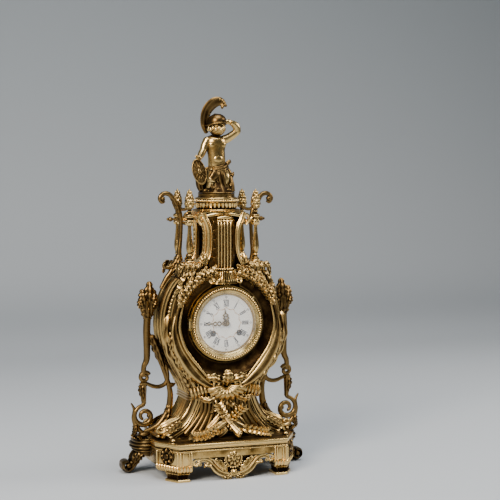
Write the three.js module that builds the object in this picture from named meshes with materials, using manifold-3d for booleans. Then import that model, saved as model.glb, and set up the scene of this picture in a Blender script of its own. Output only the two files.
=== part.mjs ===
// Mantel clock in cast and gilt bronze with a drum movement, a bell strike and a short pendulum.
// Millimetres, +Z up, the dial faces -Y, X = 0 is the plane of symmetry.
// The origin is on the surface that the clock stands on, in the middle of its outline.

import * as THREE from "three";
import * as BufferGeometryUtils from "three/addons/utils/BufferGeometryUtils.js";
import Module from "manifold-3d";

const wasm = await Module();
wasm.setup();

// ---- Driving dimensions -------------------------------------------------------------------

const CLEARANCE = 0.3; // between pieces that are bolted or seated together

// base
const FRONT_REACH = 73; // from the case's middle plane to the front of the feet
const BASE_HALF_WIDTH = 95;
const SCROLL_REACH = 34; // how far each scroll foot stands out from the base
const BASE_FRONT = 71;
const BASE_REAR = 34;
const BASE_CHAMFER_X = 21;
const BASE_CHAMFER_Y = 36;
const FOOT_HEIGHT = 18;
const BASE_HEIGHT = 31;
const BASE_WALL = 4;
const BASE_LIP = 1.5; // how far the moulding under the top stands out
const BASE_STEP = 3; // the raised tier that the case stands on
const FOOT_PLATE_THICKNESS = 3.5;

// case
const CASE_HEIGHT = 216;
const CASE_DEPTH = 72;
const CASE_WALL = 4;
const CASE_BELLY = 81; // half width at the height of the dial
const CASE_WAIST = 47; // half width at the collar
const CASE_SKIRT = 92; // half width at the bottom
const DIAL_LEVEL = 148; // dial centre above the bottom of the case
const COLLAR_LEVEL = 52; // collar above the bottom of the case
const FRAME_WIDTH = 19.5; // of the cast frame round the bezel
const FRAME_DEPTH = 8;
const FRAME_LAND = 2; // thickness of the frame beside the bezel

// dial and bezel
const BEZEL_RADIUS = 48.5;
const BEZEL_SIGHT = 39.5; // radius of the opening that shows the dial
const BEZEL_DEPTH = 7;
const GLASS_THICKNESS = 1.4;
const DIAL_RADIUS = 37.5;
const DIAL_THICKNESS = 1.2;
const MINUTE_HAND_LENGTH = 30;
const HOUR_HAND_LENGTH = 20;

// movement
const PLATE_RADIUS = 40;
const PLATE_THICKNESS = 1.6;
const PLATE_SPACING = 26;
const WINDING_X = 18;
const WINDING_DROP = 13;
const DOOR_RADIUS = 45;
const DOOR_KNOB = 4.5;
const PENDULUM_LENGTH = 136;
const BOB_RADIUS = 15;
const BELL_RADIUS = 25;

// tower, pedestal and figure
const TOWER_HEIGHT = 78;
const TOWER_HALF_WIDTH = 23;
const TOWER_HALF_DEPTH = 30;
const BALUSTER_X = 46;
const BALUSTER_Y = 27;
const BALUSTER_HEIGHT = 60;
const FINIAL_HEIGHT = 36;
const PEDESTAL_HEIGHT = 24;
const PEDESTAL_RADIUS = 31;
const FIGURE_HEIGHT = 128.8;

// ---- Levels and planes that follow from them ------------------------------------------------

const HALF_WIDTH = BASE_HALF_WIDTH + SCROLL_REACH;
const FRAME_RADIUS = BEZEL_RADIUS + FRAME_WIDTH;
const BASE_BOTTOM = FOOT_HEIGHT;
const BASE_TOP = BASE_BOTTOM + BASE_HEIGHT;
const CASE_BOTTOM = BASE_TOP + BASE_STEP + CLEARANCE;
const CASE_TOP = CASE_BOTTOM + CASE_HEIGHT;
const DIAL_Z = CASE_BOTTOM + DIAL_LEVEL;
const CASE_FRONT = -CASE_DEPTH / 2;
const CASE_REAR = CASE_DEPTH / 2;
const REAR_RING_REAR = CASE_REAR + 2; // back of the ring that the rear door closes on
const DOOR_FRONT = REAR_RING_REAR + CLEARANCE;
const REAR_REACH = DOOR_FRONT + DOOR_KNOB; // the knob of the rear door is the rearmost point
const MIDDLE_Y = (FRONT_REACH - REAR_REACH) / 2; // middle plane of the case in the finished frame
const FRAME_FRONT = CASE_FRONT - CLEARANCE - FRAME_DEPTH;
const TOWER_BOTTOM = CASE_TOP + CLEARANCE;
const TOWER_TOP = TOWER_BOTTOM + TOWER_HEIGHT;
const PEDESTAL_BOTTOM = TOWER_TOP + CLEARANCE;
const PEDESTAL_TOP = PEDESTAL_BOTTOM + PEDESTAL_HEIGHT;
const FIGURE_BOTTOM = PEDESTAL_TOP + CLEARANCE;

// ---- Finishes -------------------------------------------------------------------------------

const finish = (color, roughness, metalness) =>
  new THREE.MeshStandardMaterial({ color, roughness, metalness });
const gilt = finish(0xa8823f, 0.35, 1);
const bronze = finish(0x7a5a2c, 0.45, 1);
const darkBronze = finish(0x4a3820, 0.5, 1);
const brass = finish(0xc29a4a, 0.3, 1);
const steel = finish(0x8d9196, 0.3, 1);
const enamel = finish(0xf4f2ea, 0.2, 0);
const glass = finish(0xdfe8ea, 0.05, 0);

// ---- Solids and shapes ----------------------------------------------------------------------

// a closed three.js geometry as a solid that can be joined and cut
function solid(geometry) {
  let source = geometry.index ? geometry.toNonIndexed() : geometry.clone();
  source.deleteAttribute("normal");
  source.deleteAttribute("uv");
  source = BufferGeometryUtils.mergeVertices(source, 1e-4);
  return new wasm.Manifold(
    new wasm.Mesh({
      numProp: 3,
      vertProperties: new Float32Array(source.attributes.position.array),
      triVerts: new Uint32Array(source.index.array),
    }),
  );
}

function geometryOf(body) {
  const mesh = body.getMesh();
  const geometry = new THREE.BufferGeometry();
  geometry.setAttribute("position", new THREE.BufferAttribute(new Float32Array(mesh.vertProperties), 3));
  geometry.setIndex(new THREE.BufferAttribute(new Uint32Array(mesh.triVerts), 1));
  return geometry;
}

const join = (bodies) => bodies.reduce((whole, body) => whole.add(body));

// a block given by its lowest and highest corners
function block(low, high) {
  const size = high.map((value, axis) => value - low[axis]);
  const geometry = new THREE.BoxGeometry(...size);
  geometry.translate(...low.map((value, axis) => value + size[axis] / 2));
  return solid(geometry);
}

// a shape drawn in X and Z, made solid from the plane y = front back to y = rear
function slab(shape, front, rear, curveSegments = 12) {
  const depth = rear - front;
  const geometry = new THREE.ExtrudeGeometry(shape, { depth, bevelEnabled: false, curveSegments });
  geometry.rotateX(Math.PI / 2);
  geometry.translate(0, rear, 0);
  return solid(geometry);
}

// a shape drawn in X and Y, made solid from one height to another
function tablet(shape, bottom, top, curveSegments = 12) {
  const depth = top - bottom;
  const geometry = new THREE.ExtrudeGeometry(shape, { depth, bevelEnabled: false, curveSegments });
  geometry.translate(0, 0, bottom);
  return solid(geometry);
}

// [radius, height] pairs turned round the Z axis
function turned(profile, segments = 20) {
  const points = profile.map(([radius, height]) => new THREE.Vector2(radius, height));
  const geometry = new THREE.LatheGeometry(points, segments);
  geometry.rotateX(Math.PI / 2);
  return solid(geometry);
}

// [radius, distance towards the front] pairs turned round the dial's axis
function turnedAlongY(profile, segments = 32) {
  const points = profile.map(([radius, distance]) => new THREE.Vector2(radius, distance));
  const geometry = new THREE.LatheGeometry(points, segments);
  geometry.rotateX(Math.PI);
  return solid(geometry);
}

// a round bar, ring or disc about the dial's axis, from the plane y = front to y = rear
function discAlongY(radius, front, rear, hole = 0, segments = 24) {
  const profile = hole
    ? [[hole, -rear], [radius, -rear], [radius, -front], [hole, -front], [hole, -rear]]
    : [[0, -rear], [radius, -rear], [radius, -front], [0, -front]];
  return turnedAlongY(profile, segments);
}

function ball(radius, centre, scale = [1, 1, 1], segments = 10) {
  const geometry = new THREE.SphereGeometry(radius, segments, Math.max(6, segments - 2));
  geometry.rotateX(Math.PI / 2);
  geometry.scale(...scale);
  geometry.translate(...centre);
  return solid(geometry);
}

// a bar of flat-sided round section along [x, y, z] points
function bar(points, radius, steps, sides = 4) {
  const curve = new THREE.CatmullRomCurve3(points.map((point) => new THREE.Vector3(...point)));
  const section = new THREE.Shape();
  for (let side = 0; side < sides; side += 1) {
    const angle = ((side + 0.5) / sides) * 2 * Math.PI;
    const corner = [radius * Math.cos(angle), radius * Math.sin(angle)];
    if (side === 0) section.moveTo(...corner);
    else section.lineTo(...corner);
  }
  section.closePath();
  return solid(new THREE.ExtrudeGeometry(section, { steps, extrudePath: curve, bevelEnabled: false }));
}

// a bar that stays in the plane y = plane, from [x, z] points
const flatBar = (points, plane, radius, steps) =>
  bar(points.map(([x, z]) => [x, plane, z]), radius, steps);

// a closed shape from points, straight between them
function outline(points) {
  const shape = new THREE.Shape();
  points.forEach(([x, y], index) => (index ? shape.lineTo(x, y) : shape.moveTo(x, y)));
  shape.closePath();
  return shape;
}

function circle(radius, x = 0, y = 0) {
  const shape = new THREE.Shape();
  shape.absarc(x, y, radius, 0, 2 * Math.PI, false);
  return shape;
}

const mirrored = (points) => [...points, ...points.slice().reverse().map(([x, y]) => [-x, y])];
const mirrorX = (body) => body.mirror([1, 0, 0]);

// points of a scroll: a spiral that winds inwards from the angle start
function scroll(x, z, outer, inner, start, turns, count) {
  return Array.from({ length: count }, (_, index) => {
    const part = index / (count - 1);
    const angle = start + part * turns * 2 * Math.PI;
    const radius = outer + (inner - outer) * part;
    return [x + radius * Math.cos(angle), z + radius * Math.sin(angle)];
  });
}

// ---- The group ------------------------------------------------------------------------------

const clock = new THREE.Group();
clock.position.set(0, MIDDLE_Y, 0);

function place(name, body, material, position = [0, 0, 0], parent = clock) {
  const mesh = new THREE.Mesh(geometryOf(body), material);
  mesh.name = name;
  mesh.position.set(...position);
  parent.add(mesh);
}

// each piece that has a twin is made once, for the viewer's right, and mirrored for the left
function placePair(name, body, material, position = [0, 0, 0]) {
  place(`right_${name}`, body, material, position);
  place(`left_${name}`, mirrorX(body), material, [-position[0], position[1], position[2]]);
}

// ---- Base -----------------------------------------------------------------------------------

function basePlan(inset) {
  const slope = Math.hypot(BASE_CHAMFER_X, BASE_CHAMFER_Y);
  const shiftX = (inset * (slope - BASE_CHAMFER_X)) / BASE_CHAMFER_Y;
  const shiftY = (inset * (slope - BASE_CHAMFER_Y)) / BASE_CHAMFER_X;
  return outline(mirrored([
    [BASE_HALF_WIDTH - inset, BASE_REAR - inset],
    [BASE_HALF_WIDTH - inset, -BASE_FRONT + BASE_CHAMFER_Y + shiftX],
    [BASE_HALF_WIDTH - BASE_CHAMFER_X - shiftY, -BASE_FRONT + inset],
  ]));
}

const CORNER_BLOCK = 39; // width of each corner block along the front
const ARCH_HALF_WIDTH = BASE_HALF_WIDTH - CORNER_BLOCK; // the wall is cut away between the blocks
const ARCH_RISE = 12;
const TIER_INSET = 14;

function baseCasting() {
  const walls = tablet(basePlan(0), BASE_BOTTOM, BASE_TOP);
  const hollow = tablet(basePlan(BASE_WALL), BASE_BOTTOM - 1, BASE_TOP - BASE_WALL);
  const lip = tablet(basePlan(-BASE_LIP), BASE_TOP - 5, BASE_TOP - 1.5);
  const arch = block(
    [-ARCH_HALF_WIDTH, -BASE_FRONT - 4, BASE_BOTTOM - 1],
    [ARCH_HALF_WIDTH, -BASE_FRONT + BASE_WALL + 1, BASE_BOTTOM + ARCH_RISE],
  );
  const rearArch = block(
    [-ARCH_HALF_WIDTH, BASE_REAR - BASE_WALL - 1, BASE_BOTTOM - 1],
    [ARCH_HALF_WIDTH, BASE_REAR + 4, BASE_BOTTOM + ARCH_RISE],
  );
  const tier = tablet(basePlan(TIER_INSET), BASE_TOP - 1, BASE_TOP + BASE_STEP);
  return join([walls.subtract(hollow), lip, tier]).subtract(arch).subtract(rearArch);
}
place("base_casting", baseCasting(), gilt);

// the middle of each chamfered corner face, where a rosette is riveted on
const CORNER_X = BASE_HALF_WIDTH - BASE_CHAMFER_X / 2;
const CORNER_Y = -BASE_FRONT + BASE_CHAMFER_Y / 2;
const CORNER_TURN = Math.atan2(BASE_CHAMFER_Y, BASE_CHAMFER_X);
const ROSETTE_RADIUS = 11.5;
const ROSETTE_RISE = 3.2;

function rosette() {
  return turnedAlongY([
    [0, 0], [ROSETTE_RADIUS, 0], [ROSETTE_RADIUS, 1.4], [6.5, 2.8],
    [4.5, 1.8], [2.5, ROSETTE_RISE], [0, ROSETTE_RISE],
  ], 14)
    .rotate([0, 0, (CORNER_TURN * 180) / Math.PI])
    .translate([
      CORNER_X + CLEARANCE * Math.sin(CORNER_TURN),
      CORNER_Y - CLEARANCE * Math.cos(CORNER_TURN),
      BASE_TOP - 5 - CLEARANCE - ROSETTE_RADIUS,
    ]);
}
placePair("rosette", rosette(), bronze);

// scrolled apron with a mask, hung below the front wall
const APRON_THICKNESS = 5;
const APRON_DROP = 27;

function frontApron() {
  const top = BASE_BOTTOM + ARCH_RISE - CLEARANCE;
  const half = [
    [ARCH_HALF_WIDTH - 1, top],
    [ARCH_HALF_WIDTH - 2, top - 3],
    [46, top - 5],
    [38, top - 4],
    [31, top - 9],
    [25, top - 16],
    [17, top - 20],
    [9, top - 22],
    [6, top - APRON_DROP],
    [0, top - APRON_DROP],
  ];
  const front = -BASE_FRONT + 2;
  const plate = slab(outline(mirrored(half)), front, front + APRON_THICKNESS);
  const mask = ball(10, [0, front, top - 9], [1, 0.5, 1.1], 12);
  const whole = join([plate, mask]);
  return whole.intersect(block([-90, -FRONT_REACH, 0], [90, front + APRON_THICKNESS, top]));
}
place("front_apron", frontApron(), gilt);

// tapered foot on a flat plate under each front corner; its plan follows the corner block
const FOOT_CENTRE = [BASE_HALF_WIDTH - 22, BASE_FRONT - 14.5];
const FOOT_PLATE_SCALE = 0.72;

function footPlan(scale) {
  const corners = [[-16, -15], [2.5, -15], [16.5, 7], [6, 15], [-16, 15]];
  return outline(corners.map(([x, y]) => [x * scale, y * scale]));
}

function frontFoot() {
  const seat = FOOT_HEIGHT - CLEARANCE;
  return join([
    tablet(footPlan(FOOT_PLATE_SCALE), 0, FOOT_PLATE_THICKNESS),
    tablet(footPlan(FOOT_PLATE_SCALE - 0.12), FOOT_PLATE_THICKNESS - 0.5, seat - 3.5),
    tablet(footPlan(1), seat - 4, seat),
  ]);
}
placePair("front_foot", frontFoot(), gilt, [FOOT_CENTRE[0], -FOOT_CENTRE[1], 0]);

// shell and scroll foot at each side towards the back
const SCROLL_RADIUS = 9.5;
const SCROLL_WIDTH = 24;
const SHELL_WIDTH = 46;
const SCROLL_REAR = BASE_REAR + 2;
const SCROLL_TOP = CASE_BOTTOM - 4.3; // the side bracket stands here

function rearScrollFoot() {
  const centreX = HALF_WIDTH - SCROLL_RADIUS;
  const start = BASE_HALF_WIDTH + BASE_LIP + CLEARANCE;
  const top = SCROLL_TOP;
  const arm = new THREE.Shape();
  arm.moveTo(start, top);
  arm.quadraticCurveTo(centreX + 6, top + 2, centreX + 5, top - 12);
  arm.quadraticCurveTo(centreX, top - 18, centreX - 6, top - 24);
  arm.quadraticCurveTo(centreX - 4, SCROLL_RADIUS * 2, centreX + 1, SCROLL_RADIUS * 1.6);
  arm.lineTo(centreX, 4);
  arm.quadraticCurveTo(centreX - 16, 6, start, BASE_BOTTOM + 2);
  arm.closePath();
  const body = slab(arm, SCROLL_REAR - SCROLL_WIDTH + 2, SCROLL_REAR - 2, 6);
  const shell = body.intersect(block([0, -90, BASE_BOTTOM + 6], [HALF_WIDTH, 90, top + 9]))
    .translate([0, SCROLL_WIDTH - SHELL_WIDTH, 0]);
  const bridge = body.intersect(block([0, -90, BASE_BOTTOM + 6], [HALF_WIDTH, 90, top + 9]))
    .translate([0, (SCROLL_WIDTH - SHELL_WIDTH) / 2, 0]);
  const volute = discAlongY(SCROLL_RADIUS, SCROLL_REAR - SCROLL_WIDTH, SCROLL_REAR, 0, 16);
  return join([body, bridge, shell, volute.translate([centreX, 0, SCROLL_RADIUS])]);
}
placePair("rear_scroll_foot", rearScrollFoot(), darkBronze);

// ---- Case -----------------------------------------------------------------------------------

// half outline of the case, bottom to top, as [half width, height above the bottom]
function caseHalf(inset) {
  const stops = [
    [CASE_SKIRT, 0],
    [CASE_SKIRT - 5, 7],
    [(CASE_SKIRT + CASE_WAIST) / 2 - 3, 17],
    [CASE_WAIST + 9, 29],
    [CASE_WAIST + 2, 43],
    [CASE_WAIST, COLLAR_LEVEL],
    [CASE_WAIST + 2, COLLAR_LEVEL + 12],
    [(CASE_BELLY + CASE_WAIST) / 2, DIAL_LEVEL - 58],
    [CASE_BELLY - 5, DIAL_LEVEL - 32],
    [CASE_BELLY, DIAL_LEVEL - 3],
    [CASE_BELLY - 4, DIAL_LEVEL + 26],
    [CASE_BELLY - 15, DIAL_LEVEL + 50],
    [CASE_BELLY - 33, CASE_HEIGHT],
  ].map(([x, z]) => new THREE.Vector2(x - inset, CASE_BOTTOM + z));
  return new THREE.SplineCurve(stops).getPoints(26).map((point) => [point.x, point.y]);
}

const MOVEMENT_HOLE = 44; // radius of the bore through the front and back of the case
const BACK_OPENING = 30; // half width of the opening behind the pendulum

function caseBody() {
  const shell = slab(outline(mirrored(caseHalf(0))), CASE_FRONT, CASE_REAR);
  const inside = slab(outline(mirrored(caseHalf(CASE_WALL))), CASE_FRONT + CASE_WALL, CASE_REAR - CASE_WALL)
    .intersect(block(
      [-CASE_SKIRT, CASE_FRONT, CASE_BOTTOM + CASE_WALL],
      [CASE_SKIRT, CASE_REAR, CASE_TOP - CASE_WALL],
    ));
  const bore = discAlongY(MOVEMENT_HOLE, CASE_FRONT - 2, CASE_REAR + 2, 0, 32).translate([0, 0, DIAL_Z]);
  const back = block(
    [-BACK_OPENING, CASE_REAR - CASE_WALL - 1, CASE_BOTTOM + CASE_WALL + 4],
    [BACK_OPENING, CASE_REAR + 2, DIAL_Z - DOOR_RADIUS - 14],
  );
  return shell.subtract(inside).subtract(bore).subtract(back);
}
place("case_body", caseBody(), bronze);

const VASE_HALF_WIDTH = 22; // the vase under the lyre interrupts the top of the frame

// concave cast frame round the dial, with the broad leaf lips at its lower left and right
function dialSurround() {
  const rear = -(CASE_FRONT - CLEARANCE);
  const front = -FRAME_FRONT;
  const cup = turnedAlongY([
    [BEZEL_RADIUS + 3, rear],
    [FRAME_RADIUS, rear],
    [FRAME_RADIUS + 4, front - 2],
    [FRAME_RADIUS + 1, front],
    [FRAME_RADIUS - 4, front - 1],
    [FRAME_RADIUS - 11, rear + FRAME_LAND + 0.5],
    [BEZEL_RADIUS + 3, rear + FRAME_LAND],
    [BEZEL_RADIUS + 3, rear],
  ], 28).translate([0, 0, DIAL_Z]);
  const lip = slab(outline([
    [20, -FRAME_RADIUS + 2], [44, -FRAME_RADIUS + 14], [62, -34], [FRAME_RADIUS + 8, -4],
    [FRAME_RADIUS + 6, -30], [60, -58], [42, -74], [22, -76],
  ]), CASE_FRONT - CLEARANCE - 5, CASE_FRONT - CLEARANCE).translate([0, 0, DIAL_Z]);
  const vaseGap = block(
    [-VASE_HALF_WIDTH - 2, CASE_FRONT - 30, DIAL_Z + 40],
    [VASE_HALF_WIDTH + 2, CASE_FRONT, CASE_TOP + 20],
  );
  return join([cup, lip, mirrorX(lip)]).subtract(vaseGap);
}
place("dial_surround", dialSurround(), gilt);

const MASK_Z = DIAL_Z - FRAME_RADIUS - 29;
const MASK_DEPTH = 14;

// mask and shell between the surround and the waist
function waistMask() {
  const shell = slab(outline(mirrored([
    [9, 20], [18, 10], [26, -2], [20, -12], [9, -22],
  ])), CASE_FRONT - CLEARANCE - 6, CASE_FRONT - CLEARANCE);
  const face = ball(11, [0, CASE_FRONT - 6, -6], [1, 0.5, 1.2], 12);
  const room = block([-40, CASE_FRONT - MASK_DEPTH, -40], [40, CASE_FRONT - CLEARANCE, 40]);
  return join([shell, face]).intersect(room);
}
place("waist_mask", waistMask(), gilt, [0, 0, MASK_Z]);

// laurel sprays and a torch laid on the base in front of the waist
function trophy() {
  const top = BASE_TOP + CLEARANCE;
  const front = -BASE_FRONT + 3;
  const rear = CASE_FRONT - 10;
  const mound = slab(outline([
    [-34, top], [34, top], [28, top + 12], [14, top + 20],
    [4, top + 36], [-6, top + 36], [-16, top + 20], [-30, top + 12],
  ]), rear - 8, rear);
  const torch = bar([[12, front, top + 4], [2, front + 7, top + 14], [-8, rear - 5, top + 40]], 3.2, 4, 6);
  const spray = bar([
    [-52, front + 5, top + 5], [-30, front + 7, top + 11], [-8, rear - 6, top + 14],
  ], 4, 5);
  const tier = tablet(basePlan(TIER_INSET - CLEARANCE), BASE_TOP - 1, CASE_BOTTOM);
  const maskRoom = block([-26, CASE_FRONT - MASK_DEPTH, MASK_Z - 22], [26, CASE_FRONT, MASK_Z + 40]);
  return join([mound, torch, spray, mirrorX(spray)])
    .intersect(block([-90, -BASE_FRONT, top], [90, rear, top + 60]))
    .subtract(join([tier, maskRoom]));
}
place("trophy_mount", trophy(), bronze);

// ---- Side brackets and handles ----------------------------------------------------------------

const SIDE_Y = 0;
const BRACKET_FOOT = SCROLL_TOP + CLEARANCE;

// open scrolled bracket that stands on the scroll foot and rises past the belly of the case
function sideBracket() {
  const clear = CASE_BELLY + 8; // the stem passes the belly at this distance from the middle
  const foot = BASE_HALF_WIDTH + 6; // the stem stands here, over the scroll foot
  const belly = DIAL_Z;
  const low = BRACKET_FOOT;
  const stem = flatBar([
    [clear + 3, belly + 56], [clear + 9, belly + 30], [clear + 3, belly + 14],
    [clear + 7, belly - 12], [clear + 7, belly - 46], [foot, low + 94], [foot + 1, low + 74],
    [foot, low + 43],
  ], SIDE_Y, 3, 12);
  const lowScroll = flatBar(scroll(foot, low + 30, 15, 4, Math.PI / 2, -1.2, 12), SIDE_Y, 2.6, 14);
  const horn = flatBar([
    [foot + 17, low + 44], [foot + 11, low + 34], [foot + 10, low + 20], [foot + 2, low + 9],
  ], SIDE_Y, 2.4, 5);
  const inner = flatBar([
    [clear - 2, belly - 26], [clear - 14, belly - 58], [clear - 23, belly - 86],
    [clear - 24, low + 46], [clear - 19, low + 30], [clear - 4, low + 15], [foot - 2, low + 11],
  ], SIDE_Y, 3, 11);
  const link = flatBar([[clear + 7, belly - 16], [clear - 2, belly - 24]], SIDE_Y, 2.6, 2);
  const knot = flatBar([[foot, low + 78], [clear - 4, low + 72], [clear - 19, low + 68]], SIDE_Y, 2, 2);
  const tie = flatBar([[foot, low + 20], [foot, low + 9]], SIDE_Y, 2.6, 2);
  const pad = block([foot - 6, SIDE_Y - 8, low], [foot + 12, SIDE_Y + 8, low + 10]);
  return join([stem, lowScroll, horn, inner, link, knot, tie, pad]);
}
placePair("side_bracket", sideBracket(), darkBronze, [0, 0, 0]);

// S-shaped handle between the shoulder of the case and the head of the tower
function sHandle() {
  const neck = TOWER_BOTTOM + 66;
  const stem = flatBar([
    [53, CASE_TOP + 17], [51, CASE_TOP + 40], [50, neck], [53, neck + 14], [60, neck + 30], [67, neck + 36],
    [74, neck + 34], [76, neck + 28], [72, neck + 25],
  ], SIDE_Y, 3, 12);
  const crossPiece = flatBar([
    [54, neck + 20], [46, neck + 16], [BALUSTER_X - 12, neck + 19],
  ], SIDE_Y, 2.4, 2);
  const knob = ball(4, [61, 0, neck + 2], [1, 1, 1], 8);
  const spur = flatBar([[61, neck + 2], [50, neck - 6]], SIDE_Y, 2.4, 2);
  const curl = flatBar([
    [54, CASE_TOP + 19], [62, CASE_TOP + 7], [71, CASE_TOP + 3], [73, CASE_TOP - 6],
    [72, CASE_TOP - 14], [CASE_BELLY - 1, CASE_TOP - 26],
  ], SIDE_Y, 3, 9);
  return join([stem, crossPiece, knob, spur, curl]);
}
placePair("s_handle", sHandle(), darkBronze);

// ---- Tower ------------------------------------------------------------------------------------

const TOWER_WALL = 4;
const PLINTH_HEIGHT = 12;
const CAPITAL_RADIUS = 5.6;
const BALUSTER_FOOT = CASE_TOP + 2 * CLEARANCE + PLINTH_HEIGHT;
const TOWER_SPREAD = 12; // how far the foot of the tower flares on each side

// four-sided open tower with concave outline
function towerFrame() {
  const half = [
    [TOWER_HALF_WIDTH + TOWER_SPREAD, 0], [TOWER_HALF_WIDTH + 8, 8], [TOWER_HALF_WIDTH + 2, 22],
    [TOWER_HALF_WIDTH, 40], [TOWER_HALF_WIDTH + 1, 58], [TOWER_HALF_WIDTH + 6, 70],
    [TOWER_HALF_WIDTH + 8, TOWER_HEIGHT],
  ];
  const shell = slab(outline(mirrored(half)), -TOWER_HALF_DEPTH, TOWER_HALF_DEPTH);
  const inside = slab(
    outline(mirrored(half.map(([x, z]) => [x - TOWER_WALL, z]))),
    -TOWER_HALF_DEPTH + TOWER_WALL,
    TOWER_HALF_DEPTH - TOWER_WALL,
  ).intersect(block([-60, -60, -1], [60, 60, TOWER_HEIGHT - TOWER_WALL]));
  const window = new THREE.Shape();
  const sill = 10;
  const spring = 46;
  const halfWindow = TOWER_HALF_WIDTH - 7;
  window.moveTo(-halfWindow, sill);
  window.lineTo(halfWindow, sill);
  window.lineTo(halfWindow, spring);
  window.absarc(0, spring, halfWindow, 0, Math.PI, false);
  window.closePath();
  const through = slab(window, -TOWER_HALF_DEPTH - 2, TOWER_HALF_DEPTH + 2, 8);
  const arms = [-1, 1].flatMap((side) => [-1, 1].map((row) => {
    const near = TOWER_HALF_WIDTH;
    const far = BALUSTER_X - CAPITAL_RADIUS - CLEARANCE;
    const level = BALUSTER_FOOT + BALUSTER_HEIGHT - 5 - TOWER_BOTTOM;
    return block(
      [side > 0 ? near : -far, row * BALUSTER_Y - 2.5, level - 3],
      [side > 0 ? far : -near, row * BALUSTER_Y + 2.5, level + 3],
    );
  }));
  return join([shell.subtract(inside), ...arms]).subtract(through);
}
place("tower_frame", towerFrame(), gilt, [0, 0, TOWER_BOTTOM]);

// pierced trellis that closes the front window from inside
const LATTICE_THICKNESS = 1.6;

function lattice() {
  const halfWidth = TOWER_HALF_WIDTH - TOWER_WALL - 1;
  const low = 8;
  const high = TOWER_HEIGHT - TOWER_WALL - 6;
  const rim = 2;
  const frame = block([-halfWidth, 0, low], [halfWidth, LATTICE_THICKNESS, high])
    .subtract(block([-halfWidth + rim, -1, low + rim], [halfWidth - rim, 3, high - rim]));
  const reach = 60;
  const pitch = 19;
  const bars = [];
  for (let step = -1; step <= 4; step += 1) {
    for (const lean of [-45, 45]) {
      const strip = block([-reach, 0.2, -0.9], [reach, LATTICE_THICKNESS - 0.2, 0.9]);
      bars.push(strip.rotate([0, lean, 0]).translate([0, 0, low + step * pitch]));
    }
  }
  const field = join(bars).intersect(
    block([-halfWidth + 1, 0.1, low + 1], [halfWidth - 1, LATTICE_THICKNESS - 0.1, high - 1]),
  );
  return frame.add(field);
}
const LATTICE_Y = -TOWER_HALF_DEPTH + TOWER_WALL + CLEARANCE;
place("front_lattice", lattice(), darkBronze, [0, LATTICE_Y, TOWER_BOTTOM]);

// lyre of five rods over a fluted vase, in front of the window
const LYRE_RODS = 5;
const LYRE_PITCH = 3.6;

function lyre() {
  const rear = -TOWER_HALF_DEPTH - CLEARANCE;
  const front = rear - 5;
  const rods = Array.from({ length: LYRE_RODS }, (_, index) => {
    const x = (index - (LYRE_RODS - 1) / 2) * LYRE_PITCH;
    return block([x - 1, front + 0.5, 1], [x + 1, rear - 1.5, TOWER_HEIGHT - 10]);
  });
  const head = block([-10, front, TOWER_HEIGHT - 11], [10, rear, TOWER_HEIGHT - 6]);
  const vaseRear = CASE_FRONT - CLEARANCE;
  const low = DIAL_Z + BEZEL_RADIUS + 3 - TOWER_BOTTOM; // just above the bezel
  const high = 3;
  const vase = slab(outline(mirrored([
    [9, low], [14, low + 0.25 * (high - low)], [VASE_HALF_WIDTH - 2, low + 0.7 * (high - low)],
    [VASE_HALF_WIDTH, high - 2], [10, high],
  ])), vaseRear - 8, vaseRear);
  const foot = block([-12, vaseRear - 6, 0], [12, rear, 4]);
  return join([...rods, head, vase, foot]);
}
place("lyre_colonnette", lyre(), gilt, [0, 0, TOWER_BOTTOM]);

// turned balusters at the four corners, each with a bud finial
function baluster() {
  const h = BALUSTER_HEIGHT;
  return turned([
    [0, 0], [6, 0], [6, 3], [3, 6], [2.6, 10], [4.6, 18], [3, 28], [2.4, h - 14],
    [3.4, h - 9], [CAPITAL_RADIUS, h - 8], [CAPITAL_RADIUS, h], [0, h],
  ], 8);
}

function finial() {
  const h = FINIAL_HEIGHT;
  return turned([
    [0, 0], [5.5, 0], [5.5, 3], [2.2, 6], [2.6, 9], [5, 12], [5.8, 18], [4.4, 25], [1.8, 31], [0, h],
  ], 8);
}

// leaf-carved plinth on each shoulder of the case, under the two balusters of that side
function shoulderPlinth() {
  const inner = TOWER_HALF_WIDTH + TOWER_SPREAD + 2 * CLEARANCE;
  const outer = BALUSTER_X + 8;
  const shape = outline([
    [inner, 0], [CASE_BELLY - 33, 0], [outer + 3, 4], [outer, PLINTH_HEIGHT], [inner, PLINTH_HEIGHT],
  ]);
  return slab(shape, -BALUSTER_Y - 7.5, BALUSTER_Y + 7.5);
}
placePair("shoulder_plinth", shoulderPlinth(), bronze, [0, 0, CASE_TOP + CLEARANCE]);

for (const [row, y] of [["front", -BALUSTER_Y], ["rear", BALUSTER_Y]]) {
  for (const [side, x] of [["left", -BALUSTER_X], ["right", BALUSTER_X]]) {
    place(`${row}_${side}_baluster`, baluster(), gilt, [x, y, BALUSTER_FOOT]);
    place(`${row}_${side}_finial`, finial(), bronze, [x, y, BALUSTER_FOOT + BALUSTER_HEIGHT + CLEARANCE]);
  }
}

// ---- Pedestal and figure --------------------------------------------------------------------

function pedestal() {
  const h = PEDESTAL_HEIGHT;
  const r = PEDESTAL_RADIUS;
  return turned([
    [0, 0], [r + 1, 0], [r + 1, 3], [r - 3, 5], [r - 4, 9], [r - 1, 14], [r, 17],
    [r - 2, 19], [r - 6, 20], [r - 6, h], [0, h],
  ], 20);
}
place("top_pedestal", pedestal(), gilt, [0, 0, PEDESTAL_BOTTOM]);

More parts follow.
